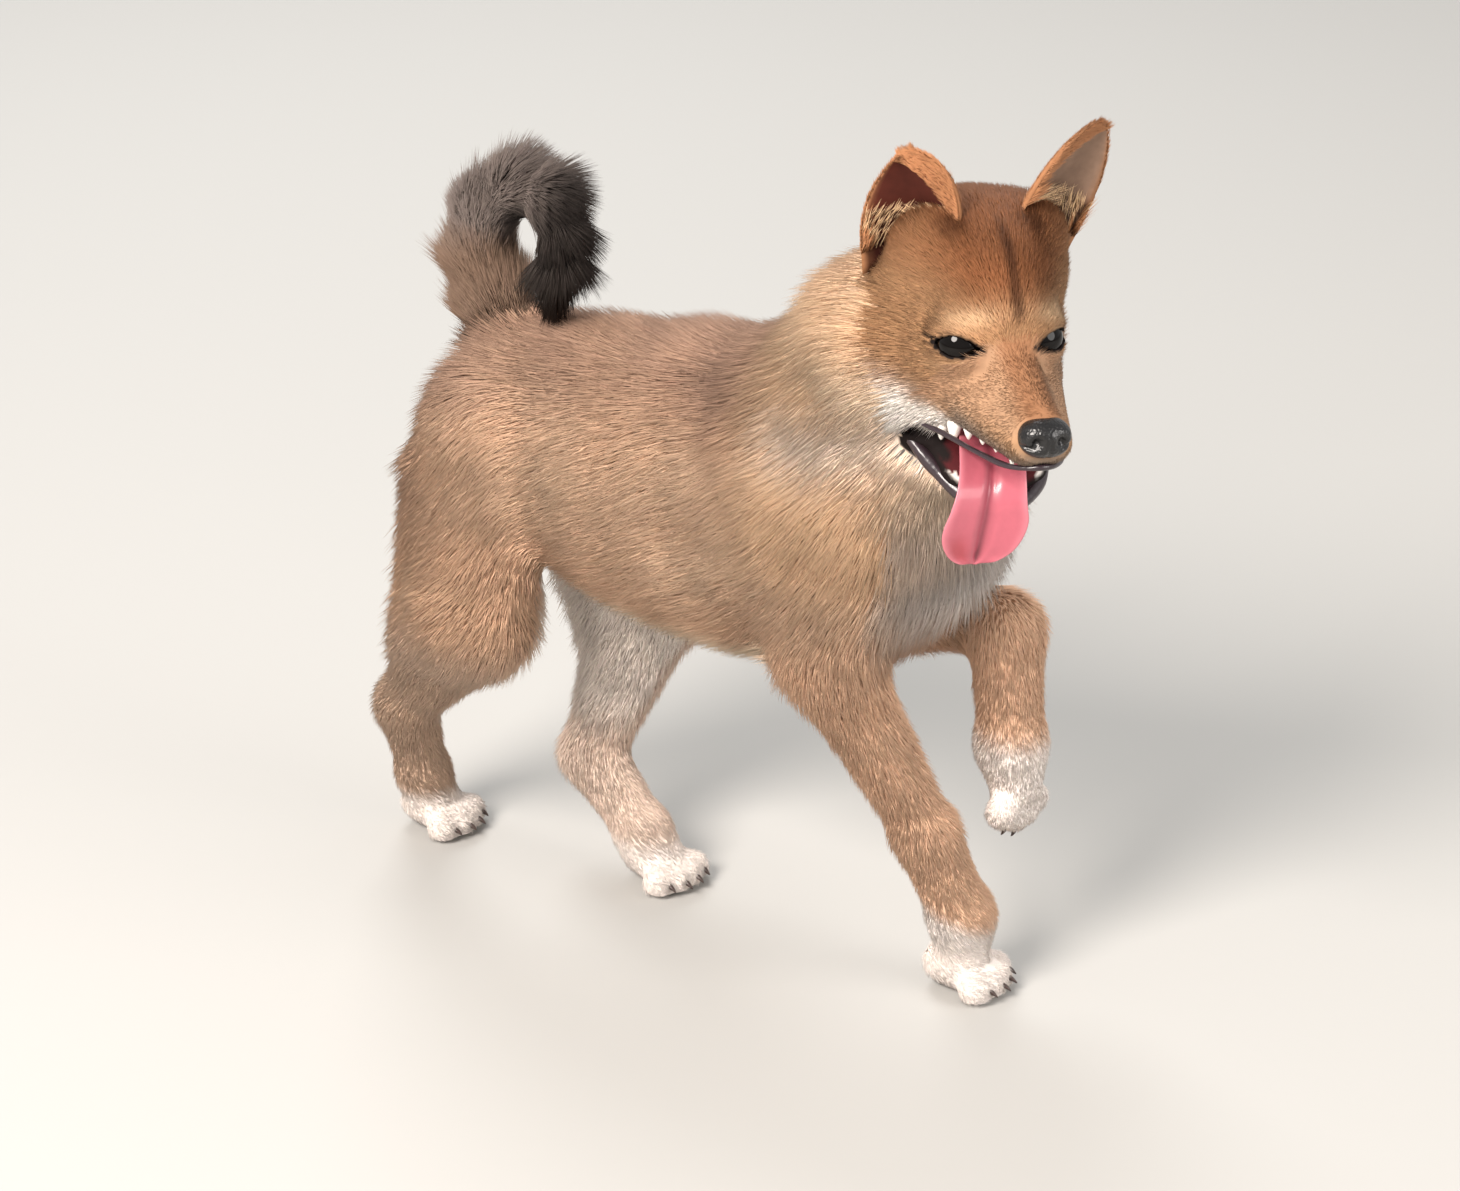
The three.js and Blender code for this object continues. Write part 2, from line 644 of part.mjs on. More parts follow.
// Tongue: a long flat blade with a groove, out over the lower lip and down
const tongueStations = [
  { at: [-26, -3, -44], half: 10 },
  { at: [-10, -5, -45], half: 12 },
  { at: [4, -8, -47], half: 13.5 },
  { at: [13, -11, -53], half: 14 },
  { at: [16, -13, -61], half: 15.5 },
  { at: [16, -14, -70], half: 17.5 },
  { at: [14, -15, -78], half: 15.5 },
  { at: [12, -16, -84], half: 8 },
];
function tongueSolid(grow) {
  const count = 12;
  const rings = tongueStations.map(({ at, half }, i) => {
    const before = tongueStations[Math.max(0, i - 1)].at;
    const after = tongueStations[Math.min(tongueStations.length - 1, i + 1)].at;
    const way = onHead(...after).sub(onHead(...before)).normalize();
    const across = headWay(0, 1, 0);
    const out = across.clone().cross(way).normalize().negate();
    return Array.from({ length: count }, (_, k) => {
      const turn = ((k + 0.5) / count) * 2 * Math.PI;
      const w = Math.cos(turn);
      const curl = 2.6 * w * w;
      const lift = (Math.sin(turn) * tongueThickness) / 2 + curl;
      return onHead(...at)
        .addScaledVector(across, w * (half + grow))
        .addScaledVector(out, lift + Math.sign(Math.sin(turn)) * grow);
    });
  });
  return loft(rings);
}

// A closed skin over flat rings of points, whose ends are closed from one long side to the other
function loft(rings) {
  const count = rings[0].length;
  const points = rings.flat();
  const faces = [];
  for (let r = 0; r + 1 < rings.length; r += 1) {
    for (let k = 0; k < count; k += 1) {
      const a = r * count + k;
      const b = r * count + ((k + 1) % count);
      faces.push(a, b, b + count, a, b + count, a + count);
    }
  }
  const end = (rings.length - 1) * count;
  for (let k = 0; k < count / 2 - 1; k += 1) {
    const across = count - 1 - k;
    faces.push(k + 1, k, across, k + 1, across, across - 1);
    faces.push(end + k, end + k + 1, end + across, end + k + 1, end + across - 1, end + across);
  }
  const flat = new Float32Array(points.flatMap((p) => [p.x, p.y, p.z]));
  const solid = solidOf(flat, new Uint32Array(faces));
  if (solid.volume() > 0) {
    return solid;
  }
  for (let f = 0; f < faces.length; f += 3) {
    [faces[f], faces[f + 1]] = [faces[f + 1], faces[f]];
  }
  return solidOf(flat, new Uint32Array(faces));
}

// Ears: a bent blade with its cup towards the front and the side
const ears = {
  left: { front: [-27, 12, 47], rear: [-44, 39, 27], tip: [-33, 46, 78], cup: [0.82, 0.5, -0.1], bend: 9 },
  right: { front: [-23, -15, 43], rear: [-50, -47, 24], tip: [-32, -36, 71], cup: [0.72, -0.62, 0.05], bend: 12 },
};
function earSolid(ear, grow) {
  const front = onHead(...ear.front);
  const rear = onHead(...ear.rear);
  const tip = onHead(...ear.tip);
  const cup = headWay(...ear.cup);
  const wide = front.clone().sub(rear).normalize();
  const rootWay = front.clone().add(rear).multiplyScalar(0.5).sub(tip).normalize();
  const levels = 7;
  const across = 8;
  const rings = [];
  for (let v = 0; v <= levels; v += 1) {
    const t = (v / levels) * 0.94;
    const ring = [];
    for (const face of [1, -1]) {
      for (let u = 0; u <= across; u += 1) {
        const s = face > 0 ? u / across : 1 - u / across;
        const narrow = 1 - t ** 1.6;
        const base = rear.clone().lerp(front, 0.5 + (s - 0.5) * narrow);
        const spine = tip.clone().sub(rear.clone().lerp(front, 0.5)).multiplyScalar(t);
        const hollow = ear.bend * Math.sin(Math.PI * s) * (1 - t * 0.8);
        const half = (earThickness / 2) * (0.35 + 0.65 * Math.sin(Math.PI * Math.min(0.92, Math.max(0.08, s))));
        base.add(spine).addScaledVector(wide, (s - 0.5) * 2 * grow);
        ring.push(base.addScaledVector(cup, -hollow + face * (half * (1 - 0.35 * t) + 1.8 * grow)));
      }
    }
    rings.push(v === 0 ? ring.map((p) => p.clone().addScaledVector(rootWay, 9 + grow)) : ring);
    if (v === 0) {
      rings.push(ring);
    }
  }
  return loft(rings);
}

// Eyes, each a ball behind an almond opening between its lids
const lidGrow = 1.7;
function eyeParts(side) {
  const centre = [-5.5, (eyeSpacing / 2) * side, -0.5];
  const look = headWay(0.84, 0.52 * side, 0.06);
  const level = headWay(-0.5 * side, 0.85, 0.14 * side).normalize();
  const lift = look.clone().cross(level).normalize();
  const almond = new THREE.Shape();
  almond.moveTo(-9, -0.4);
  almond.quadraticCurveTo(0, 9.6, 9, 0.4);
  almond.quadraticCurveTo(0, -8.2, -9, -0.4);
  const opening = new THREE.ExtrudeGeometry(almond, { depth: 18, bevelEnabled: false, curveSegments: 6 });
  opening.applyMatrix4(new THREE.Matrix4().makeBasis(level, lift, level.clone().cross(lift)));
  opening.translate(...onHead(...centre));
  return {
    ball: headBall(centre, [eyeRadius, eyeRadius, eyeRadius], 12, 8),
    lids: headBall(centre, Array(3).fill(eyeRadius + lidGrow)),
    socket: headBall(centre, Array(3).fill(eyeRadius + seamGap)),
    opening: solidFrom(opening),
  };
}

// Nose with two nostrils
const nosePlace = [43, 0, -21.5];
const noseRadii = [8.5, 10.5, 8];
let nose = headBall(nosePlace, noseRadii, 18, 12);
for (const side of [1, -1]) {
  nose = nose.subtract(headBall([51, 4.8 * side, -22], [4.5, 2.2, 2.4], 8, 6));
  nose = nose.subtract(headBall([49, 8.2 * side, -23.6], [4, 2.6, 1.1], 8, 6));
}

const jaw = jawSolid(0);
const jawRoom = jawSolid(3 * seamGap);
const tongue = tongueSolid(0);
const tongueRoom = tongueSolid(seamGap);
let head = polygonise(neckAndHead, [118, -118, 236], [274, 52, 392], cell.head);
head = withTeeth(head.add(tube(upperLip, lipThickness)), upperTeeth);
head = head.subtract(headBall(nosePlace, noseRadii.map((r) => r + seamGap), 18, 12));
for (const [name, side] of [['left', 1], ['right', -1]]) {
  const eye = eyeParts(side);
  head = head.add(eye.lids).subtract(eye.socket).subtract(eye.opening);
  addNode('eye_' + name, eye.ball, 'eye');
  addNode('ear_' + name, earSolid(ears[name], 0), 'back');
  head = head.subtract(earSolid(ears[name], seamGap));
}
head = head.subtract(jawRoom).subtract(tongueRoom);
addNode('head', keepSide(head, headCut.point, headCut.normal), 'face');
addNode('nose', nose, 'nose');
addNode('jaw', keepSide(jaw.subtract(tongueRoom), headCut.point, headCut.normal), 'lip');
addNode('tongue', tongue, 'tongue');

// The origin is on the floor, under the middle of the puppy
const middle = new THREE.Box3().setFromObject(model).getCenter(vec(0, 0, 0));
model.position.set(-middle.x, -middle.y, 0);

export default model;
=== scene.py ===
import math
import bpy
import numpy as np
from mathutils import Matrix, Vector


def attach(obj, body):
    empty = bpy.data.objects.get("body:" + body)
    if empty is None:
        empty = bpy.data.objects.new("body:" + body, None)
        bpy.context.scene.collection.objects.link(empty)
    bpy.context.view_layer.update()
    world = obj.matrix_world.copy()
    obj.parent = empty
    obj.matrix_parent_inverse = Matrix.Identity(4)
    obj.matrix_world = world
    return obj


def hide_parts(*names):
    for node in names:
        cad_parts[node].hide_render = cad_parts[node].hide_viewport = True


# Shiba inu puppy, trotting with its mouth open: a still, life-size model.
# One skin lies under a coat of modelled tufts. Shapes are told in millimetres in the
# puppy's own axes, +X ahead and +Y to its left, and are moved to the frame at the end.

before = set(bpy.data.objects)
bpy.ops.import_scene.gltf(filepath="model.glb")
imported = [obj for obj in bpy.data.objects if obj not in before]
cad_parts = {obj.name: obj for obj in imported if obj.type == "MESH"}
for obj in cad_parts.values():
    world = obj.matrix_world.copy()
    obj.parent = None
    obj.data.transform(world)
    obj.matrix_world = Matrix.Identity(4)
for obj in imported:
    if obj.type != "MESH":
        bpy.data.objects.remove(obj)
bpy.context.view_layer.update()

modelShift = np.array([-59.65, 6.13, 0.0])  # from the puppy's axes to the frame's
# The head's frame sits between the eyes: f ahead, l to the left, u up. Turns are in degrees
headPose = {"place": [211.8, -39.4, 317.0], "yaw": -40, "roll": -1}
eyes = {"radius": 9.5, "ahead": -5.5, "across": {1: 13.2, -1: -19.3}, "height": -0.5,
        "lidBlend": 7.0, "lidThickness": 0.9, "halfWidth": 10.0, "upperLid": 4.8, "lowerLid": 3.3,
        "slant": 0.02}  # across is told for the left eye (1) and the right one (-1)
nosePlace = [43, 0, -23.5]


# A turn about the upright axis, after a lean about the one ahead
def turnMatrix(yaw, roll):
    cy, sy, cr, sr = math.cos(yaw), math.sin(yaw), math.cos(roll), math.sin(roll)
    about = np.array([[cy, -sy, 0], [sy, cy, 0], [0, 0, 1]])
    lean = np.array([[1, 0, 0], [0, cr, -sr], [0, sr, cr]])
    return about @ lean


eyesPlace = np.array(headPose["place"])
headTurn = turnMatrix(math.radians(headPose["yaw"]), math.radians(headPose["roll"]))


# From the head's frame to the puppy's axes, and back
def onHead(f, l, u):
    return eyesPlace + headTurn @ np.array([f, l, u], float)


def headWay(f, l, u):
    way = headTurn @ np.array([f, l, u], float)
    return way / np.linalg.norm(way)


def inHead(p):
    return (p - eyesPlace) @ headTurn


def unit(v):
    return v / np.maximum(np.linalg.norm(v, axis=-1, keepdims=True), 1e-9)


def toFrame(p):
    return (p + modelShift) * 0.001


# 0 at a, 1 at b and a soft step between them
def smooth(a, b, x):
    t = np.clip((x - a) / (b - a), 0, 1)
    return t * t * (3 - 2 * t)


# Distance fields of the body, over arrays of points
def limb(start, end, startRadius, endRadius, flat=1.0):
    start = np.array(start, float)
    axis = np.array(end, float) - start
    lengthSq = axis @ axis

    def field(p):
        d = p - start
        t = np.clip(d @ axis / lengthSq, 0, 1)
        d = d - t[..., None] * axis
        if flat != 1.0:
            d[..., 1] *= flat
        return np.linalg.norm(d, axis=-1) - startRadius - (endRadius - startRadius) * t
    return field


def ellipsoid(centre, radii):
    radii = np.array(radii, float)

    def field(p):
        d = (p - centre) @ headTurn
        k = np.linalg.norm(d / radii, axis=-1)
        g = np.linalg.norm(d / radii ** 2, axis=-1)
        return k * (k - 1) / np.maximum(g, 1e-6)
    return field


# The nearest of some fields, with a soft join of this width
def blend(width, values):
    result = values[0]
    for other in values[1:]:
        h = np.maximum(width - np.abs(result - other), 0) / width
        result = np.minimum(result, other) - h * h * width / 4
    return result


# A smooth curve through stations
def along(stations):
    xs = np.array([s[0] for s in stations], float)
    vs = np.array([s[1] for s in stations], float)
    slopes = np.empty(len(xs))
    for i in range(len(xs)):
        a, b = max(0, i - 1), min(len(xs) - 1, i + 1)
        slopes[i] = (vs[b] - vs[a]) / (xs[b] - xs[a])

    def curve(x):
        x = np.clip(x, xs[0], xs[-1])
        i = np.clip(np.searchsorted(xs, x, side="right") - 1, 0, len(xs) - 2)
        w = xs[i + 1] - xs[i]
        t = (x - xs[i]) / w
        s = 1 - t
        return (vs[i] * s * s * (1 + 2 * t) + vs[i + 1] * t * t * (3 - 2 * t)
                + w * slopes[i] * t * s * s - w * slopes[i + 1] * t * t * s)
    return curve


# The trunk by its length: height of the back and of the belly, and half the width
backLine = along([[-112, 236], [-87, 254], [-43, 269], [8, 277], [50, 285], [90, 282],
                  [130, 262], [165, 232]])
bellyLine = along([[-112, 180], [-70, 170], [-30, 152], [5, 140], [40, 134], [85, 134],
                   [125, 142], [165, 172]])
halfWidth = along([[-112, 38], [-80, 46], [-40, 49], [5, 55], [50, 58], [95, 57],
                   [130, 50], [165, 38]])
trunkRear, trunkFront, trunkRound = -97, 181, 42
trunkSquareness = 2.3


def trunk(p):
    x, y, z = p[..., 0], p[..., 1], p[..., 2]
    rear = np.maximum(0, trunkRear + trunkRound - x) / trunkRound
    front = np.maximum(0, x - (trunkFront - trunkRound)) / trunkRound
    top, bottom, w = backLine(x), bellyLine(x), halfWidth(x)
    h, middle = (top - bottom) / 2, (top + bottom) / 2
    side = (np.abs(y) / w) ** trunkSquareness + (np.abs(z - middle) / h) ** trunkSquareness
    end = np.sqrt(side ** (2 / trunkSquareness) + rear ** 2 + front ** 2)
    return (end - 1) * np.minimum(np.minimum(w, h), trunkRound + 10)


# Legs from the shoulder or hip to the wrist or heel, with the paw's middle and the toes' way
legs = {
    "foreRight": {"joints": [[130, -32, 222], [128, -40, 160], [160, -13, 78], [171, 0, 36]],
                  "radii": [40, 24, 15.5, 14.5], "hamstring": 0,
                  "paw": [171, 3, 11], "way": [0.96, 0.2, 0], "hanging": False},
    "foreLeft": {"joints": [[132, 32, 220], [112, 43, 158], [169, 34, 158], [175, 31, 106]],
                 "radii": [40, 24, 17.5, 15.5], "hamstring": 0,
                 "paw": [179, 29, 90], "way": [0.12, -0.05, -1], "hanging": True},
    "hindRight": {"joints": [[-60, -26, 212], [-62, -40, 136], [-117, -22, 70], [-120, -8, 28]],
                  "radii": [39, 33, 15.5, 12.5], "hamstring": -24,
                  "paw": [-115, -4, 11], "way": [0.98, 0.12, 0], "hanging": False},
    "hindLeft": {"joints": [[-60, 26, 212], [-18, 38, 136], [-40, 17, 50], [-6, 10, 22]],
                 "radii": [39, 32, 16, 13], "hamstring": -22,
                 "paw": [3, 10, 11], "way": [0.98, -0.1, 0], "hanging": False},
}
toes = {"reach": 13, "spread": 7.812, "outerBack": 3.2, "radius": 8.2, "drop": 5.2}


# A paw's middle with its axes: along the toes, across them and up
def pawAxes(leg):
    way = unit(np.array(leg["way"], float))
    up = unit(np.array([1, 0, 0.12])) if leg["hanging"] else np.array([0, 0, 1.0])
    across = unit(np.cross(up, way))
    return np.array(leg["paw"], float), way, across, np.cross(way, across)


def toePlaces(leg):
    centre, way, across, up = pawAxes(leg)
    places = []
    for k in (-1.5, -0.5, 0.5, 1.5):
        reach = toes["reach"] - (toes["outerBack"] if abs(k) > 1 else 0)
        drop = 0 if leg["hanging"] else -toes["drop"]
        places.append(centre + way * reach + across * k * toes["spread"] + up * drop)
    return places


# Stations of the tail: place and radius
tailPath = [[-62, 0, 240, 24], [-74, 0, 262, 20], [-85, 0, 284, 17.5], [-82, 0, 306, 16.5],
            [-66, -1, 320, 15], [-48, -3, 321, 14], [-38, -5, 309, 12.5], [-36, -7, 296, 10.5],
            [-38, -8, 285, 6]]
noseTop = onHead(44, 0, -14)


# Ways in which the hair lies: back from the nose, back and down the sides, or straight
def headLie(p):
    return unit(p - noseTop + np.array([0, 0, -6.0]))


def sideLie(p):
    side = np.clip(p[..., 1:2] / 50, -1, 1)
    return unit(np.concatenate([np.full_like(side, -1), 0.25 * side, -0.5 * np.abs(side)], -1))


def straightLie(way):
    way = unit(np.array(way, float))
    return lambda p: np.broadcast_to(way, p.shape)


# The parts of the coat: each has its field, how deep the coat is over the skin there, how
# long the hair is, how wide a tuft is, how far it stands off and which way it lies
coatParts = []


def addPart(zone, field, depth, length, width, stand, lie):
    coatParts.append({"zone": zone, "field": field, "depth": depth, "length": length,
                      "width": width, "stand": stand, "lie": lie})


addPart("trunk", trunk, 8, 19, 0.75, 0.42, sideLie)
addPart("neck", limb([106, 0, 226], [150, -13, 296], 60, 50), 11, 24, 0.8, 0.48,
        straightLie([-0.62, 0, -0.78]))
addPart("neck", limb([138, -6, 214], [172, -21, 268], 40, 30), 9, 20, 0.8, 0.45,
        straightLie([-0.25, 0, -0.97]))
skullShapes = [
    ellipsoid(onHead(-41, -2, 10), [48, 33, 42]),
    limb(onHead(-24, 9, -11), onHead(-46, 14, -13), 17.5, 25),
    limb(onHead(-24, -17, -11), onHead(-46, -21, -13), 21, 28),
    limb(onHead(-40, 18, 31), onHead(-42, 16, 20), 17, 20),
    limb(onHead(-38, -22, 30), onHead(-42, -20, 20), 18, 20),
    limb(onHead(-6, 5, 7), onHead(-6, -12, 7), 8.5, 8.5),
    limb(onHead(-30, 19, -29), onHead(-46, 20, -33), 12, 15),
    limb(onHead(-30, -23, -29), onHead(-46, -23, -33), 13, 16),
]
skullSizes = [(2.4, 6), (3.6, 9), (3.6, 9), (2.6, 6.5), (2.6, 6.5), (1.3, 3.6), (2.2, 6.5),
              (2.2, 6.5)]  # coat depth and hair length of each shape
skullFirst = len(coatParts)
for shape, (depth, length) in zip(skullShapes, skullSizes):
    addPart("head", shape, depth, length, 0.52, 0.2 + 0.018 * length, headLie)
muzzleShapes = [
    limb(onHead(-4, -1, -8), onHead(38, 0, -20.5), 13, 8.5),
    limb(onHead(-16, 12, -22), onHead(36, 5, -28.5), 15, 9.2),
    limb(onHead(-16, -14, -22), onHead(36, -5, -28.5), 15, 9.2),
]
muzzleFirst = len(coatParts)
for shape in muzzleShapes:
    addPart("muzzle", shape, 0.9, 2.6, 0.42, 0.17, headLie)
jawShapes = [limb(onHead(-40, 0, -50), onHead(-9, 0, -70), 13, 6.5)]
for side in (1, -1):
    jawShapes.append(limb(onHead(-42, 18 * side, -38), onHead(-14, 13 * side, -61), 12, 8))
    jawShapes.append(limb(onHead(-14, 13 * side, -61), onHead(-6, 4 * side, -67), 8, 6))
    jawShapes.append(limb(onHead(-38, 26 * side, -41), onHead(-17, 17.5 * side, -59), 7.5, 6))
jawFirst = len(coatParts)
for shape in jawShapes:
    addPart("jaw", shape, 1.2, 4.0, 0.5, 0.32, headLie)

legFirst = len(coatParts)
for name, leg in legs.items():
    j, r = [np.array(v, float) for v in leg["joints"]], leg["radii"]
    ways = [unit(b - a + np.array([-6, 0, -8.0])) for a, b in zip(j, j[1:])]
    side = "hind" if name.startswith("hind") else "fore"
    leg["first"] = len(coatParts)
    addPart(side + "Upper", limb(j[0], j[1], r[0], r[1], 1.45), 7.5, 17, 0.75, 0.42,
            straightLie([-0.45, 0, -0.89]))
    addPart(side, limb(j[1], j[2], r[1] * 0.95, r[2], 1.2), 4, 10, 0.65, 0.36, straightLie(ways[1]))
    addPart(side, limb(j[2], j[3], r[2], r[3]), 2.4, 6.5, 0.6, 0.32, straightLie(ways[2]))
    if leg["hamstring"]:
        behind = np.array([leg["hamstring"], 0, 0])
        addPart(side + "Upper", limb(j[0] * 0.75 + j[1] * 0.25 + behind,
                                     j[1] * 0.7 + j[2] * 0.3 + behind * 0.75, 26, 20, 1.45),
                9, 19, 0.8, 0.5, straightLie([-0.5, 0, -0.86]))
    centre, way, across, up = pawAxes(leg)
    foot = straightLie(way + np.array([0, 0, -0.3]))
    addPart(side + "Paw", limb(j[3], centre, r[3], 11.5), 1.4, 4.0, 0.55, 0.3, foot)
    addPart(side + "Paw", limb(centre - way * 9, centre, 10.5, 11), 1.4, 4.0, 0.55, 0.3, foot)
    for place in toePlaces(leg):
        addPart(side + "Paw", limb(centre, place, 8, toes["radius"]), 1.1, 3.2, 0.5, 0.28, foot)
    leg["last"] = len(coatParts)
tailFirst = len(coatParts)
for a, b in zip(tailPath, tailPath[1:]):
    addPart("tail", limb(a[:3], b[:3], a[3], b[3]), 7 if b[3] > 9 else 4, 20, 0.8, 0.5,
            straightLie(np.array(b[:3]) - a[:3]))


def partValues(p):
    return [part["field"](p) + part["depth"] for part in coatParts]


def eyeCentre(side):
    return onHead(eyes["ahead"], eyes["across"][side], eyes["height"])


# Each eye's own axes: out of the lids, along them and up
almondWay = {}
for side in (1, -1):
    centre = eyeCentre(side)
    look = headWay(0.84, 0.52 * side, 0.06)
    level = headWay(-0.5 * side, 0.85, 0.0)
    lift = unit(np.cross(look, level))
    level = np.cross(lift, look)
    almondWay[side] = (centre, look, level, lift)


def eyeSpace(p, side):
    centre, look, level, lift = almondWay[side]
    d = p - centre
    return d @ look, d @ level * side, d @ lift


# How softly the parts flow into each other
softness = {"torso": 26, "skull": 14, "muzzle": 7, "jaw": 5, "thigh": 14, "hip": 22, "heel": 6,
            "toe": 2.4, "shank": 9, "leg": 16, "tail": 4, "rump": 12, "nape": 18, "face": 9}


# The skin's field: the same body, less the coat's depth, with mouth, lids and eye openings
def skinField(p):
    v = partValues(p)
    shape = blend(softness["torso"], v[0:3])
    skull = blend(softness["skull"], v[skullFirst:muzzleFirst])
    muzzle = blend(softness["muzzle"], v[muzzleFirst:jawFirst])
    jaw = blend(softness["jaw"], v[jawFirst:legFirst])
    rump = shape
    for leg in legs.values():
        first = leg["first"]
        upper = v[first]
        if leg["hamstring"]:
            upper = blend(softness["thigh"], [upper, v[first + 3]])
        rump = blend(softness["hip"], [rump, upper])
    body = None
    for leg in legs.values():
        first, last = leg["first"], leg["last"]
        pawFirst = first + (4 if leg["hamstring"] else 3)
        heel = blend(softness["heel"], v[pawFirst:pawFirst + 2])
        foot = blend(softness["toe"], [heel] + v[pawFirst + 2:last])
        shank = blend(softness["shank"], [v[first + 1], v[first + 2], foot])
        withLeg = blend(softness["leg"], [rump, shank])
        body = withLeg if body is None else np.minimum(body, withLeg)
    tail = blend(softness["tail"], v[tailFirst:])
    body = blend(softness["rump"], [body, tail])
    head = blend(softness["nape"], [shape, skull])
    # The stop, a dip between the eyes
    f, l, u = np.moveaxis(inHead(p), -1, 0)
    face = blend(softness["face"], [head, muzzle])
    face = face + 1.4 * np.exp(-((f + 1) / 7) ** 2 - (l / 4) ** 2 - ((u - 4) / 9) ** 2)
    for side in (1, -1):
        out, wide, high = eyeSpace(p, side)
        ball = np.sqrt(out ** 2 + wide ** 2 + high ** 2)
        face = blend(eyes["lidBlend"], [face, ball - eyes["radius"] - eyes["lidThickness"]])
        room = 1 - (wide / eyes["halfWidth"]) ** 2
        upper, lower = eyes["upperLid"] * room, -eyes["lowerLid"] * room
        slant = eyes["slant"] * wide
        slot = np.maximum(high - slant - upper, lower - high + slant)
        slot = np.maximum(slot, 2 - out)
        face = np.maximum(face, -np.where(out > 2, slot, 6.0))
    face = np.maximum(face, -palate(p))
    width = 1 + 9 * smooth(-20, -40, f)
    h = np.maximum(width - np.abs(face - jaw), 0) / width
    face = np.minimum(face, jaw) - h * h * width / 4
    face = np.maximum(face, -mouthCorners(p))
    return np.minimum(body, face)


cornerShapes = [limb(onHead(-35, 35 * side, -39), onHead(-12, 24 * side, -47), 1.2, 6)
                for side in (1, -1)]
# Half width and height of the lower mouth along the head
lipStations = np.array([[-36, 33, -38], [-27, 28, -46], [-19, 23, -55], [-10, 16.5, -62],
                        [-1, 7, -66]])
# Lines of the lips, from the near corner of the mouth round to the far one
upperLip = [[-35, -36.5, -37.5], [-20, -30.5, -38], [-8, -24.5, -38.5], [14, -17.5, -39],
            [33, -10.5, -38.5], [42, 0, -36.5], [33, 10.5, -38.5], [14, 17.5, -39],
            [-8, 23, -38.5], [-20, 28, -38], [-35, 31, -37.5]]
lowerLip = [[-35, -36.5, -39.5], [-27, -31, -48], [-19, -24, -57], [-10, -17, -64], [-1, -7, -68],
            [-1, 7, -68], [-10, 17, -64], [-19, 23, -57], [-27, 28, -48], [-35, 31, -39.5]]


# Distance from a line of the lips
def lipBand(line):
    segments = [limb(onHead(*a), onHead(*b), 0, 0) for a, b in zip(line, line[1:])]
    return lambda p: np.min([segment(p) for segment in segments], axis=0)


nearUpperLip, nearLowerLip = lipBand(upperLip), lipBand(lowerLip)


# Inside of the lower lip, where the mouth's lining shows in place of the coat
def inLowerMouth(p):
    f, l, u = np.moveaxis(inHead(p), -1, 0)
    half = np.interp(f, lipStations[:, 0], lipStations[:, 1])
    height = np.interp(f, lipStations[:, 0], lipStations[:, 2])
    return (np.abs(l) < half + 2.5) & (u > height - 6.5) & (u < -36) & (f > -37) & (f < 5)


def mouthCorners(p):
    return np.minimum(cornerShapes[0](p), cornerShapes[1](p))


palate = limb(onHead(-30, 0, -42), onHead(34, 0, -35), 13, 5.5)


# Places of the net's planes along one axis, from spans of start, end and step
def ticks(*spans):
    result = []
    for start, end, step in spans:
        result.extend(np.arange(start, end - 1e-6, step))
    result.append(spans[-1][1])
    return np.array(result)


# A closed net over the surface where a field is nought, on a grid that is finer at the head
def surfaceNet(values, axes):
    cells = np.array(values.shape) - 1
    count = np.zeros(np.prod(cells))
    sums = np.zeros((3, np.prod(cells)))
    crossings = []
    for axis in range(3):
        low = [slice(None)] * 3
        high = [slice(None)] * 3
        low[axis], high[axis] = slice(0, -1), slice(1, None)
        a, b = values[tuple(low)], values[tuple(high)]
        at = np.argwhere((a < 0) != (b < 0))
        va, vb = a[tuple(at.T)], b[tuple(at.T)]
        place = np.stack([axes[k][at[:, k]] for k in range(3)], 1).astype(float)
        step = axes[axis][at[:, axis] + 1] - axes[axis][at[:, axis]]
        place[:, axis] += step * va / (va - vb)
        one, two = (axis + 1) % 3, (axis + 2) % 3
        ring = []
        for i, j in ((0, 0), (1, 0), (1, 1), (0, 1)):
            cell = at.copy()
            cell[:, one] -= i
            cell[:, two] -= j
            good = np.all((cell >= 0) & (cell < cells), axis=1)
            flat = np.ravel_multi_index(np.clip(cell, 0, cells - 1).T, cells)
            count += np.bincount(flat[good], minlength=len(count))
            for k in range(3):
                sums[k] += np.bincount(flat[good], place[good, k], minlength=len(count))
            ring.append(np.where(good, flat, -1))
        crossings.append((np.stack(ring, 1), va < 0))
    used = np.flatnonzero(count)
    index = np.full(len(count), -1)
    index[used] = np.arange(len(used))
    points = (sums[:, used] / count[used]).T
    quads = []
    for ring, inside in crossings:
        whole = np.all(ring >= 0, axis=1)
        ring, inside = ring[whole], inside[whole]
        quads.append(index[np.where(inside[:, None], ring, ring[:, ::-1])])
    return points, np.concatenate(quads)


def pointNormals(points, quads):
    a, b, c, d = (points[quads[:, k]] for k in range(4))
    across = np.cross(c - a, d - b)
    normals = np.zeros_like(points)
    for k in range(3):
        for corner in range(4):
            normals[:, k] += np.bincount(quads[:, corner], across[:, k], minlength=len(points))
    return unit(normals)


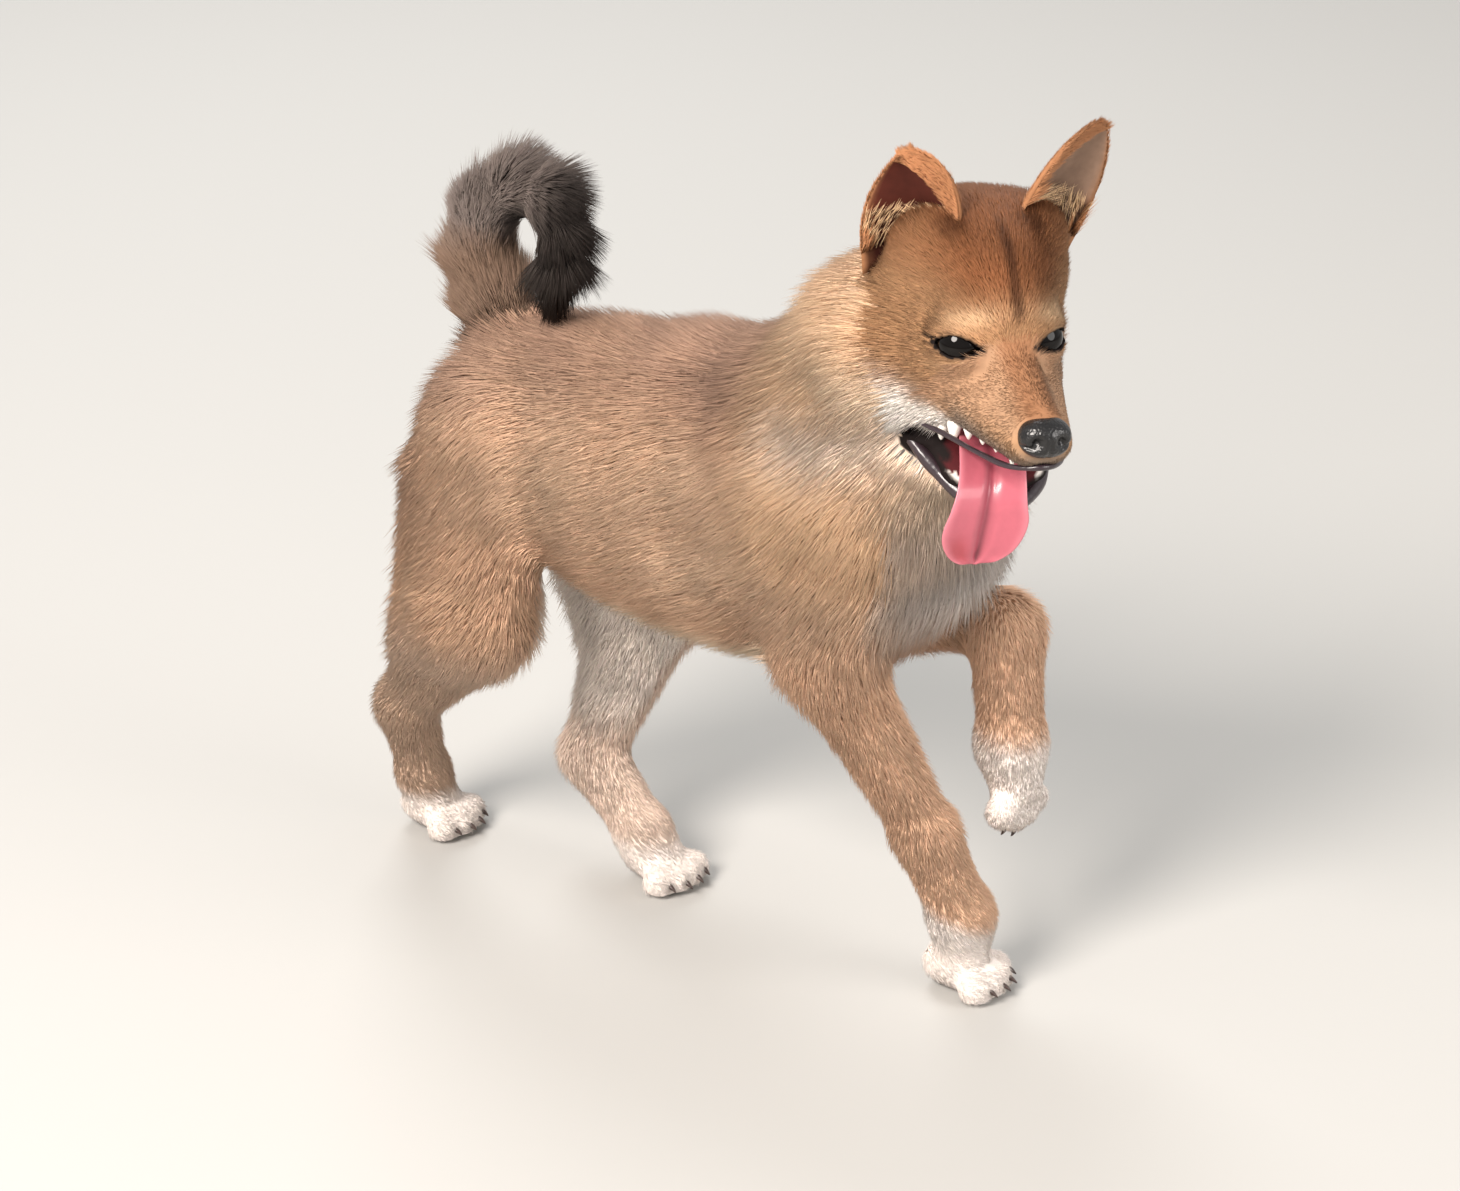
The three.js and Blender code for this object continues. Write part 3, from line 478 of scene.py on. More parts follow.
print("evaluating the skin")
bodyStep, headStep, nearStep, farStep = 2.9, 1.35, 1.7, 2.7
soleCut = 0.9  # the skin's soles are level here, over the floor
gridAxes = [ticks((-180, 138, bodyStep), (138, 262, headStep)),
            ticks((-96, -12, nearStep), (-12, 84, farStep)),
            ticks((-3, 234, bodyStep), (234, 372, headStep))]
gridValues = np.empty([len(a) for a in gridAxes], np.float32)
for i, x in enumerate(gridAxes[0]):
    plane = np.stack(np.meshgrid([x], gridAxes[1], gridAxes[2], indexing="ij"), -1)[0]
    gridValues[i] = np.maximum(skinField(plane), soleCut - plane[..., 2])
gridValues[np.abs(gridValues) < 1e-3] = 1e-3
skinPoints, skinQuads = surfaceNet(gridValues, gridAxes)


slopeStep, longestMove, soleHeight = 0.3, 0.7, 2.2


# Draws the net's points onto the surface and gives the surface's slope there
def settle(points, step):
    value = skinField(points)
    slope = np.stack([skinField(points + step * axis) - value for axis in np.eye(3)], 1) / step
    steep = np.sum(slope * slope, 1, keepdims=True)
    move = -value[:, None] * slope / np.maximum(steep, 0.25)
    size = np.linalg.norm(move, axis=1, keepdims=True)
    return move / np.maximum(1, size / longestMove), unit(slope)


overFloor = skinPoints[:, 2] > soleHeight
for settling in range(2):
    move, slopeWay = settle(skinPoints, slopeStep)
    skinPoints = skinPoints + move * overFloor[:, None]
skinNormals = unit(pointNormals(skinPoints, skinQuads) + slopeWay * overFloor[:, None])
print("skin has", len(skinPoints), "points")


partBlur = 5.0


# Which part of the coat lies nearest, and the coat's measures blended over the parts
def coatAt(p):
    values = np.stack(partValues(p), 1)
    nearest = values.argmin(1)
    weight = np.exp(-np.clip(values - values.min(1, keepdims=True), 0, 60) / partBlur)
    weight /= weight.sum(1, keepdims=True)
    measures = {}
    for name in ("length", "width", "stand"):
        measures[name] = weight @ np.array([part[name] for part in coatParts])
    lie = np.zeros_like(p)
    for k, part in enumerate(coatParts):
        lie += weight[:, k:k + 1] * part["lie"](p)
    return nearest, measures, unit(lie)


zoneNames = [part["zone"] for part in coatParts]


# sRGB hex to linear
def linear(hexText):
    value = np.array([int(hexText[i:i + 2], 16) for i in (1, 3, 5)]) / 255
    return np.where(value <= 0.04045, value / 12.92, ((value + 0.055) / 1.055) ** 2.4)


def linearColour(hexText):
    return tuple(linear(hexText)) + (1.0,)


# Tones of the coat by place: a red puppy coat, pale below and dark on the tail
tones = {name: linear(text) for name, text in {
    "back": "#84695c", "flank": "#d2ad91", "flankPale": "#dabca1", "low": "#b7977d", "gold": "#e2be9c",
    "chest": "#c2bab5", "belly": "#c9b59d", "crown": "#855638", "stripe": "#4a2d1d",
    "face": "#a67f5d", "brow": "#cfae8b", "cheek": "#eee7e0", "nape": "#e4ceb6", "muzzle": "#976c4e",
    "muzzleSide": "#ae896c", "lipGrey": "#82776d", "throat": "#c2ae98", "fore": "#dab497",
    "white": "#e9dfd8", "inner": "#e8dcd2", "hind": "#e2ccbc", "tailBase": "#6e5a4c",
    "tail": "#6a605b", "tailTip": "#1b1715", "mouth": "#4e1a1e", "lid": "#17100f", "earBack": "#9a6c4b",
}.items()}


# The coat's markings over the body, with some painted shade, told once for the skin and for the tufts
def coatMarksAndShade(p, normal, nearest):
    zone = np.array(zoneNames)[nearest]
    x, y, z = p.T
    f, l, u = inHead(p).T
    colour = np.tile(tones["flank"], (len(p), 1))

    def mix(tone, amount):
        nonlocal colour
        colour = colour + (tones[tone] - colour) * np.clip(amount, 0, 1)[:, None]

    def leg(name):
        return (nearest >= legs[name]["first"]) & (nearest < legs[name]["last"])

    top = backLine(x)
    drift = np.sin(x / 17 + 2 * np.sin(z / 23) + y / 31)
    mottle = 0.5 + 0.5 * drift * np.sin(z / 19 + 1.5 * np.sin(x / 29))
    mix("low", smooth(200, 150, z) * (0.2 + 0.35 * mottle) * smooth(120, 80, x))
    mix("flankPale", smooth(160, 200, z) * smooth(262, 236, z) * smooth(-90, -40, x)
        * (0.25 + 0.5 * mottle))
    mix("back", smooth(58, 8, top - z) * smooth(0.0, 0.7, normal[:, 2]) * smooth(142, 96, x)
        * (0.55 + 0.3 * mottle))
    mix("back", smooth(-70, -100, x) * smooth(150, 200, z) * 0.5)
    mix("gold", smooth(88, 126, x) * smooth(185, 228, z) * smooth(0.95, 0.55, normal[:, 2]))
    mix("belly", smooth(-0.55, -0.9, normal[:, 2]) * smooth(175, 150, z))
    isFront = np.isin(zone, ["trunk", "neck", "foreUpper"]) & (np.abs(y + 4) < 42)
    mix("chest", isFront * smooth(146, 168, x) * smooth(262, 232, z) * smooth(128, 150, z)
        * smooth(0.25, 0.7, normal[:, 0]) * (0.55 + 0.45 * mottle))
    isHead = np.isin(zone, ["head", "muzzle", "jaw"])
    mix("throat", smooth(150, 168, x) * smooth(286, 262, z) * smooth(232, 250, z)
        * smooth(0.1, 0.6, normal[:, 0]) * 0.8)
    mix("face", isHead)
    mix("gold", isHead * smooth(-52, -72, f) * 0.7)
    rearFade = smooth(-74, -34, f)
    mix("crown", isHead * smooth(6, 26, u + 0.1 * f) * smooth(34, 12, np.abs(l)) * rearFade)
    mix("crown", isHead * smooth(14, 34, u) * 0.6 * rearFade)
    mix("stripe", isHead * smooth(3.4, 0.6, np.abs(l + 0.04 * (u - 12))) * smooth(5, 12, u)
        * smooth(48, 36, u) * 0.8 * rearFade)
    # The pale cheek, from the corner of the mouth back onto the neck
    ridge = np.exp(-((u + 30 - 0.4 * (-f - 22)) / 9.5) ** 2) * smooth(16, 24, np.abs(l))
    ridge = ridge * smooth(-84, -62, f)
    mix("cheek", isHead * np.clip(ridge * 1.3, 0, 0.95) * smooth(-2, -14, f) * smooth(-74, -56, f))
    mix("nape", (zone == "neck") * smooth(66, 44, np.abs(l)) * np.clip(ridge, 0, 0.7))
    mix("cheek", (zone == "neck") * np.exp(-((u + 48) / 14) ** 2) * smooth(-82, -56, f) * 0.5)
    mix("cheek", isHead * smooth(-27, -38, u + 0.2 * f) * smooth(8, 20, np.abs(l)) * 0.85
        * smooth(-66, -50, f))
    brow = np.exp(-((f + 1) / 9) ** 2 - ((np.abs(l) - 15) / 9) ** 2
                  - ((u - 11.5 + 0.1 * np.abs(l)) / 3.6) ** 2)
    mix("brow", isHead * np.clip(brow * 1.1, 0, 0.85))
    under = np.exp(-((u + 9) / 4) ** 2 - ((np.abs(l) - 17) / 9) ** 2) * smooth(-22, -12, f)
    mix("brow", isHead * under * 0.7)
    isMuzzle = zone == "muzzle"
    mix("muzzle", isMuzzle * smooth(-16, -6, u + 0.25 * f) * smooth(14, 6, np.abs(l)))
    mix("muzzleSide", isMuzzle * smooth(4, 12, np.abs(l)) * smooth(-30, -20, u))
    mix("lipGrey", isMuzzle * smooth(-20, -30, u + 0.16 * (f - 10)) * 0.8 * smooth(-8, 6, f))
    mix("cheek", (zone == "jaw") * 0.85)
    # Inside of the mouth
    inMouth = smooth(1.5, -1.0, palate(p) - 0.6) * smooth(-32, -24, f)
    mouthFloor = ((zone == "jaw") * smooth(0.5, 0.8, normal[:, 2]) * smooth(-30, -22, f)
                  * smooth(22, 16, np.abs(l)))
    mix("mouth", np.maximum(inMouth, mouthFloor))
    mix("mouth", np.isin(zone, ["jaw", "head"]) * inLowerMouth(p) * 1.0)
    mix("lid", smooth(2.4, 1.2, mouthCorners(p)) * (np.abs(l) < 35))
    lipRim = np.maximum(smooth(6.0, 4.4, nearLowerLip(p)), smooth(2.6, 1.6, nearUpperLip(p)))
    mix("lid", isHead * lipRim)
    for side in (1, -1):
        out, wide, high = eyeSpace(p, side)
        room = np.clip(1 - (wide / 12) ** 2, 0, 1)
        rim = np.maximum(high - 0.02 * wide - 5.0 * room, -3.8 * room - high + 0.02 * wide)
        mix("lid", isHead * smooth(1.3, 0.1, rim) * smooth(0, 2, out) * (np.abs(wide) < 12.5))
        # Painted shade: a dark spot in the hollow in front of the foot of each ear
        spot = np.linalg.norm(inHead(p) - [-21, 15 * side - 2, 39], axis=1)
        mix("stripe", isHead * smooth(9, 3, spot) * 0.6)
    # Legs and tail
    isFore, isHind = np.char.startswith(zone, "fore"), np.char.startswith(zone, "hind")
    mix("fore", isFore * smooth(178, 150, z))
    mix("white", leg("foreRight") * smooth(48, 38, z + 0.45 * (x - 168)))
    mix("white", leg("foreLeft") * smooth(122, 108, z + 0.1 * (x - 170)) * (x > 140))
    mix("hind", isHind * smooth(140, 96, z))
    # Painted shade: the lower right hind leg, the near one, is darkened with the low tone
    mix("low", leg("hindRight") * smooth(140, 96, z) * 0.75)
    inward = np.where(y > 0, -normal[:, 1], normal[:, 1])
    mix("inner", isHind * smooth(0.0, 0.5, inward) * smooth(178, 150, z) * smooth(60, 90, z))
    mix("white", isHind * smooth(28, 17, z))
    isTail = zone == "tail"
    mix("tailBase", isTail)
    mix("tail", isTail * smooth(276, 298, z))
    curl = np.hypot(x + 56, z - 300)
    darkTip = np.maximum(smooth(20, 13, curl) * (x > -76), smooth(-54, -44, x) * 0.75)
    mix("tailTip", isTail * darkTip * (z > 276))
    return colour


# A mesh from points in the puppy's axes, with a tone at each point
def addMesh(name, points, faces, colours=None, smoothed=True):
    mesh = bpy.data.meshes.new(name)
    size = faces.shape[1]
    mesh.vertices.add(len(points))
    mesh.vertices.foreach_set("co", toFrame(points).astype(np.float32).ravel())
    mesh.loops.add(faces.size)
    mesh.loops.foreach_set("vertex_index", faces.astype(np.int32).ravel())
    mesh.polygons.add(len(faces))
    mesh.polygons.foreach_set("loop_start", np.arange(0, faces.size, size, dtype=np.int32))
    if smoothed:
        mesh.polygons.foreach_set("use_smooth", np.ones(len(faces), bool))
    mesh.update(calc_edges=True)
    if colours is not None:
        layer = mesh.color_attributes.new("coatTone", "FLOAT_COLOR", "POINT")
        whole = np.ones((len(points), 4), np.float32)
        whole[:, :3] = colours
        layer.data.foreach_set("color", whole.ravel())
    piece = bpy.data.objects.new(name, mesh)
    bpy.context.collection.objects.link(piece)
    return piece


# Adds one node with its settings and links
def addNode(tree, kind, settings=None, **links):
    node = tree.nodes.new(kind)
    for key, value in (settings or {}).items():
        if key in node.inputs:
            node.inputs[key].default_value = value
        else:
            setattr(node, key, value)
    for key, source in links.items():
        tree.links.new(source, node.inputs[key.replace("_", " ")])
    return node


# One tone, with a grain of small bumps where bump is set; scales are told per metre
def plainMaterial(name, tone, roughness, specular=0.5, bump=0.0, bumpScale=400.0, coat=0.0):
    material = bpy.data.materials.new(name)
    material.use_nodes = True
    tree = material.node_tree
    shader = tree.nodes["Principled BSDF"]
    shader.inputs["Base Color"].default_value = linearColour(tone)
    shader.inputs["Roughness"].default_value = roughness
    shader.inputs["Specular IOR Level"].default_value = specular
    shader.inputs["Coat Weight"].default_value = coat
    shader.inputs["Coat Roughness"].default_value = 0.03
    if bump:
        place = addNode(tree, "ShaderNodeTexCoord")
        grain = addNode(tree, "ShaderNodeTexVoronoi", {"Scale": bumpScale},
                        Vector=place.outputs["Object"])
        relief = addNode(tree, "ShaderNodeBump", {"Strength": bump, "Distance": 0.0006},
                         Height=grain.outputs["Distance"])
        tree.links.new(relief.outputs["Normal"], shader.inputs["Normal"])
    return material


# A surface whose tone follows the markings, with a faint cloud in it
def coatMaterial(name, roughness, grainScale, change=0.1, specular=0.12, wet=0.0, wetRoughness=0.03):
    material = bpy.data.materials.new(name)
    material.use_nodes = True
    tree = material.node_tree
    shader = tree.nodes["Principled BSDF"]
    shader.inputs["Roughness"].default_value = roughness
    shader.inputs["Specular IOR Level"].default_value = specular
    shader.inputs["Coat Weight"].default_value = wet
    shader.inputs["Coat Roughness"].default_value = wetRoughness
    tone = addNode(tree, "ShaderNodeAttribute", {"attribute_name": "coatTone"})
    place = addNode(tree, "ShaderNodeTexCoord")
    cloud = addNode(tree, "ShaderNodeTexNoise", {"Scale": grainScale, "Detail": 3.0},
                    Vector=place.outputs["Object"])
    spread = {"From Min": 0.3, "From Max": 0.7, "To Min": 1 - change, "To Max": 1 + change}
    shade = addNode(tree, "ShaderNodeMapRange", spread, Value=cloud.outputs["Fac"])
    mixed = addNode(tree, "ShaderNodeVectorMath", {"operation": "SCALE"}, Vector=tone.outputs["Color"],
                    Scale=shade.outputs["Result"])
    tree.links.new(mixed.outputs["Vector"], shader.inputs["Base Color"])
    return material


furMaterial = coatMaterial("dog hair", 0.62, 60.0)  # dry hair: dull, a little cloudy in tone
skinMaterial = coatMaterial("short dog fur", 0.75, 240.0)  # down between the tufts, duller still
eyeMaterial = plainMaterial("wet dark eye", "#080504", 0.06, specular=0.22)  # one small hard glint
# Pebbled and moist: grains of about a millimetre under soft glints
noseMaterial = plainMaterial("wet black nose leather", "#080708", 0.34, bump=0.4, bumpScale=900.0,
                             coat=0.2)
# Smooth, moist skin with a glint along its edge
lipMaterial = plainMaterial("moist dark lip", "#2a1e24", 0.34, bump=0.2, bumpScale=500.0, coat=0.3)
# Soft flesh under a thin wet film
tongueMaterial = coatMaterial("wet tongue", 0.42, 300.0, 0.03, specular=0.4, wet=0.3,
                              wetRoughness=0.15)
toothMaterial = plainMaterial("tooth enamel", "#f6f2ea", 0.25, coat=0.4)  # pale and glossy
clawMaterial = plainMaterial("dark claw horn", "#3a2c28", 0.4)  # dark, with a dull shine


# Every piece rides on the one body, and may stand in for solids of the part
def finishPiece(piece, material, nodes):
    piece.data.materials.append(material)
    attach(piece, "root")
    if nodes:
        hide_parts(*nodes)
    return piece


print("colouring the skin")
skinNearest, skinMeasures, _ = coatAt(skinPoints)
skinTone = coatMarksAndShade(skinPoints, skinNormals, skinNearest)
shadeUnderTufts = 0.82  # the skin under the tufts is painted darker: painted shade down between the hairs
skin = addMesh("skin", skinPoints, skinQuads, colours=skinTone * shadeUnderTufts)
fleshNodes = ["torso_front", "torso_rear", "neck", "head", "jaw", "tail_root", "tail_middle", "tail_tip"]
for part in ("upper", "lower", "paw"):
    for name in ("fore_right", "fore_left", "hind_right", "hind_left"):
        fleshNodes.append(part + "_" + name)
finishPiece(skin, skinMaterial, fleshNodes)


# Places on an unwrap of the skin by its own shape: round each part of the body and along it
def unwrapPlace(p, nearest):
    x, y, z = p.T
    f, l, u = inHead(p).T
    zone = np.array(zoneNames)[nearest]
    across = np.arctan2(y, z - 210) / (2 * math.pi) + 0.5
    lengthwise = (x + 190) / 400
    head = np.isin(zone, ["head", "muzzle", "jaw"])
    across = np.where(head, np.arctan2(l, u + 14) / (2 * math.pi) + 0.5, across)
    lengthwise = np.where(head, (f + 95) / 160, lengthwise)
    tail = zone == "tail"
    across = np.where(tail, np.arctan2(z - 300, x + 56) / (2 * math.pi) + 0.5, across)
    lengthwise = np.where(tail, (y + 45) / 90, lengthwise)
    across, lengthwise = np.clip(across, 0, 1), np.clip(lengthwise, 0, 1)
    for k, leg in enumerate(legs.values()):
        mine = (nearest >= leg["first"]) & (nearest < leg["last"])
        middle = np.array(leg["joints"], float)
        order = middle[:, 2].argsort()
        cx = np.interp(z, middle[order, 2], middle[order, 0])
        cy = np.interp(z, middle[order, 2], middle[order, 1])
        turn = np.arctan2(y - cy, x - cx) / (2 * math.pi) + 0.5
        across = np.where(mine, (turn * 0.96 + 0.02 + (k % 2)) / 2, across)
        lengthwise = np.where(mine, np.clip(z / 260, 0, 1), lengthwise)
    return np.stack([across, lengthwise], 1) * 0.99 + 0.005


# Slow waves in the lie of the coat, so that it falls in locks
def waves(p, shift):
    phase = np.array([0.3, 2.1, 4.2]) + shift
    return (np.sin(p[:, [1, 2, 0]] / 7.5 + 1.8 * np.sin(p[:, [2, 0, 1]] / 11) + phase)
            + 0.7 * np.sin(p[:, [2, 0, 1]] / 3.7 + phase))


# A tuft's own values: how its sizes vary, how its tone changes from foot to tip as painted shade at
# the foot and painted light at the tip, and the side of its patch on the unwrap
tuft = {"length": (0.7, 1.25), "width": (0.75, 1.3), "stand": (0.55, 1.3), "bakePatch": 0.003,
        "shade": [-0.12, -0.12, -0.06, 0.17], "toneChange": 0.075, "hueChange": 0.012}


# Tufts of hair: three-sided blades, rooted in the skin and lying back along it
def growTufts(name, roots, normals, lie, measures, tone, place, seed):
    random = np.random.default_rng(seed)
    n = len(roots)
    length = (measures["length"] * random.uniform(*tuft["length"], n))[:, None]
    width = (measures["width"] * random.uniform(*tuft["width"], n))[:, None]
    stand = (measures["stand"] * random.uniform(*tuft["stand"], n))[:, None]
    longHair = np.clip((measures["length"] - 3) / 9, 0, 1)[:, None]
    way = lie + random.normal(0, 1, (n, 3)) * (0.05 + 0.08 * longHair)
    way = way + np.clip(length / 150, 0.01, 0.09) * waves(roots, 0)
    way = unit(way - normals * np.sum(way * normals, 1, keepdims=True))
    side = np.cross(normals, way)
    foot = roots - normals * 0.5 * width
    half = side * width * 0.5
    tip = foot + unit(way + normals * stand) * length
    ridge = foot + unit(normals - way * stand) * width * (0.25 + 0.2 * longHair)
    points = np.stack([foot - half, foot + half, ridge, tip], 1)
    pattern = np.array([[1, 0, 2], [0, 1, 3], [1, 2, 3], [2, 0, 3]])
    faces = (pattern[None] + 4 * np.arange(n)[:, None, None]).reshape(-1, 3)
    tint = (1 + random.normal(0, tuft["toneChange"], (n, 1)) * (0.3 + 0.7 * longHair)
            + random.normal(0, tuft["hueChange"], (n, 3)))
    tint = tint + 0.035 * longHair * waves(roots * 0.8, 1)[:, :1]
    # Painted shade darkens each tuft's foot and ridge and painted light brightens its tip, less on short
    # hair
    shade = 1 + np.array(tuft["shade"]) * (0.45 + 0.55 * longHair)
    colours = np.clip((tone * tint)[:, None, :] * shade[:, :, None], 0, 1)
    piece = addMesh(name, points.reshape(-1, 3), faces, colours=colours.reshape(-1, 3), smoothed=False)
    layer = piece.data.uv_layers.new(name="OFBake")
    patch = np.array([[0, 0], [1, 0], [0.5, 0.3], [0.5, 1]])
    corner = place[:, None, :] + (patch[None] - 0.5) * tuft["bakePatch"]
    layer.data.foreach_set("uv", corner.reshape(-1, 2)[faces.ravel()].astype(np.float32).ravel())
    return finishPiece(piece, furMaterial, [])


# Roots are scattered over the skin by area and by how dense the coat is there
cornerPoints = skinPoints[skinQuads]
quadArea = 0.5 * np.linalg.norm(np.cross(cornerPoints[:, 2] - cornerPoints[:, 0],
                                         cornerPoints[:, 3] - cornerPoints[:, 1]), axis=1)
quadCentre = cornerPoints.mean(1)
quadZone = np.array(zoneNames)[skinNearest[skinQuads[:, 0]]]


# Where no hair grows: the eyes' openings, the mouth and its lips, the nose and the soles
def bareSkin(p, normal):
    f, l, u = inHead(p).T
    bare = np.zeros(len(p), bool)
    for side in (1, -1):
        out, wide, high = eyeSpace(p, side)
        room = np.clip(1 - (wide / 11.5) ** 2, 0, 1)
        bare |= (out > 0) & (high < 5.2 * room + 0.5) & (high > -3.9 * room - 0.5) & (np.abs(wide) < 12)
    mouth = ((palate(p) < 1.6) & (f > -34)) | (mouthCorners(p) < 1.7) | inLowerMouth(p)
    mouth |= (nearLowerLip(p) < 4.8) | (nearLowerLip(p) < 7.5) & (f > -24) | (nearUpperLip(p) < 1.7)
    floor = (f > -30) & (np.abs(l) < 17) & (u > -64) & (u < -34) & (normal[:, 2] > 0.2)
    nose = np.linalg.norm((inHead(p) - nosePlace) / [10, 11.5, 9.5], axis=1) < 1
    return bare | mouth | floor | nose | (p[:, 2] < soleHeight)


# One piece of the coat: tufts on the chosen faces of the skin
def coatPiece(name, chosen, count, seed):
    random = np.random.default_rng(seed)
    faces = np.flatnonzero(chosen)
    hairLength = skinMeasures["length"][skinQuads[faces, 0]]
    weight = quadArea[faces] / (hairLength + 4)  # short hair stands closer
    picked = random.choice(faces, count, p=weight / weight.sum())
    u, v = random.random((2, len(picked), 1))
    corners = skinQuads[picked]

    def spread(values):
        return ((1 - u) * (1 - v) * values[corners[:, 0]] + u * (1 - v) * values[corners[:, 1]]
                + u * v * values[corners[:, 2]] + (1 - u) * v * values[corners[:, 3]])
    roots, normals = spread(skinPoints), unit(spread(skinNormals))
    keep = ~bareSkin(roots, normals)
    roots, normals = roots[keep], normals[keep]
    nearest, measures, lie = coatAt(roots)
    tone = coatMarksAndShade(roots, normals, nearest)
    growTufts(name, roots, normals, lie, measures, tone, unwrapPlace(roots, nearest), seed)
    print(name, len(roots), "tufts")


isBody = np.isin(quadZone, ["trunk", "foreUpper", "hindUpper"])
isLeft = quadCentre[:, 1] > 0
coatPiece("coat_torso_right", isBody & ~isLeft, 49500, 11)
coatPiece("coat_torso_left", isBody & isLeft, 49500, 12)
coatPiece("coat_neck", quadZone == "neck", 49500, 13)
coatPiece("coat_head", quadZone == "head", 49500, 14)
coatPiece("coat_face", np.isin(quadZone, ["muzzle", "jaw"]), 36000, 15)
coatPiece("coat_fore_legs", np.isin(quadZone, ["fore", "forePaw"]), 40000, 16)
coatPiece("coat_hind_legs", np.isin(quadZone, ["hind", "hindPaw"]), 42000, 17)
coatPiece("coat_tail", quadZone == "tail", 34000, 18)


# Closed skins over rings of points
def loftMesh(name, rings, colours=None):
    count = len(rings[0])
    points = np.concatenate(rings)
    faces = []
    for r in range(len(rings) - 1):
        for k in range(count):
            a, b = r * count + k, r * count + (k + 1) % count
            faces.append([a, b, b + count, a + count])
    end = (len(rings) - 1) * count
    for k in range(count // 2 - 1):
        across = count - 1 - k
        faces.append([k + 1, k, across, across - 1])
        faces.append([end + k, end + k + 1, end + across - 1, end + across])
    faces = np.array(faces)
    a, b, c, d = (points[faces[:, i]] for i in range(4))
    volume = np.sum(a * np.cross(b, c)) + np.sum(a * np.cross(c, d))
    if volume < 0:
        faces = faces[:, ::-1]
    return addMesh(name, points, faces, colours=colours), points, faces


print("ears")
# The two ears' insides are one skin given two tones by painted light: the right ear's dark red is
# painted shade in its cup
ears = {
    "left": {"front": [-27, 12, 47], "rear": [-44, 39, 27], "tip": [-33, 46, 78],
             "cup": [0.82, 0.5, -0.1], "bend": 9, "inside": "#8f7462"},
    "right": {"front": [-23, -15, 43], "rear": [-50, -47, 24], "tip": [-32, -36, 71],
              "cup": [0.72, -0.62, 0.05], "bend": 12, "inside": "#55281f"},
}
earShape = {"levels": 24, "across": 18, "thickness": 4.4, "narrowing": 2.6, "roundness": 0.75,
            "rootDepth": 4.5, "hairs": 12000, "paleHair": "#cfae88"}
earAcross = earShape["across"]


# How wide the ear is at a share of its height, against its root
def earWidth(t):
    return (1 - t ** earShape["narrowing"]) ** earShape["roundness"]


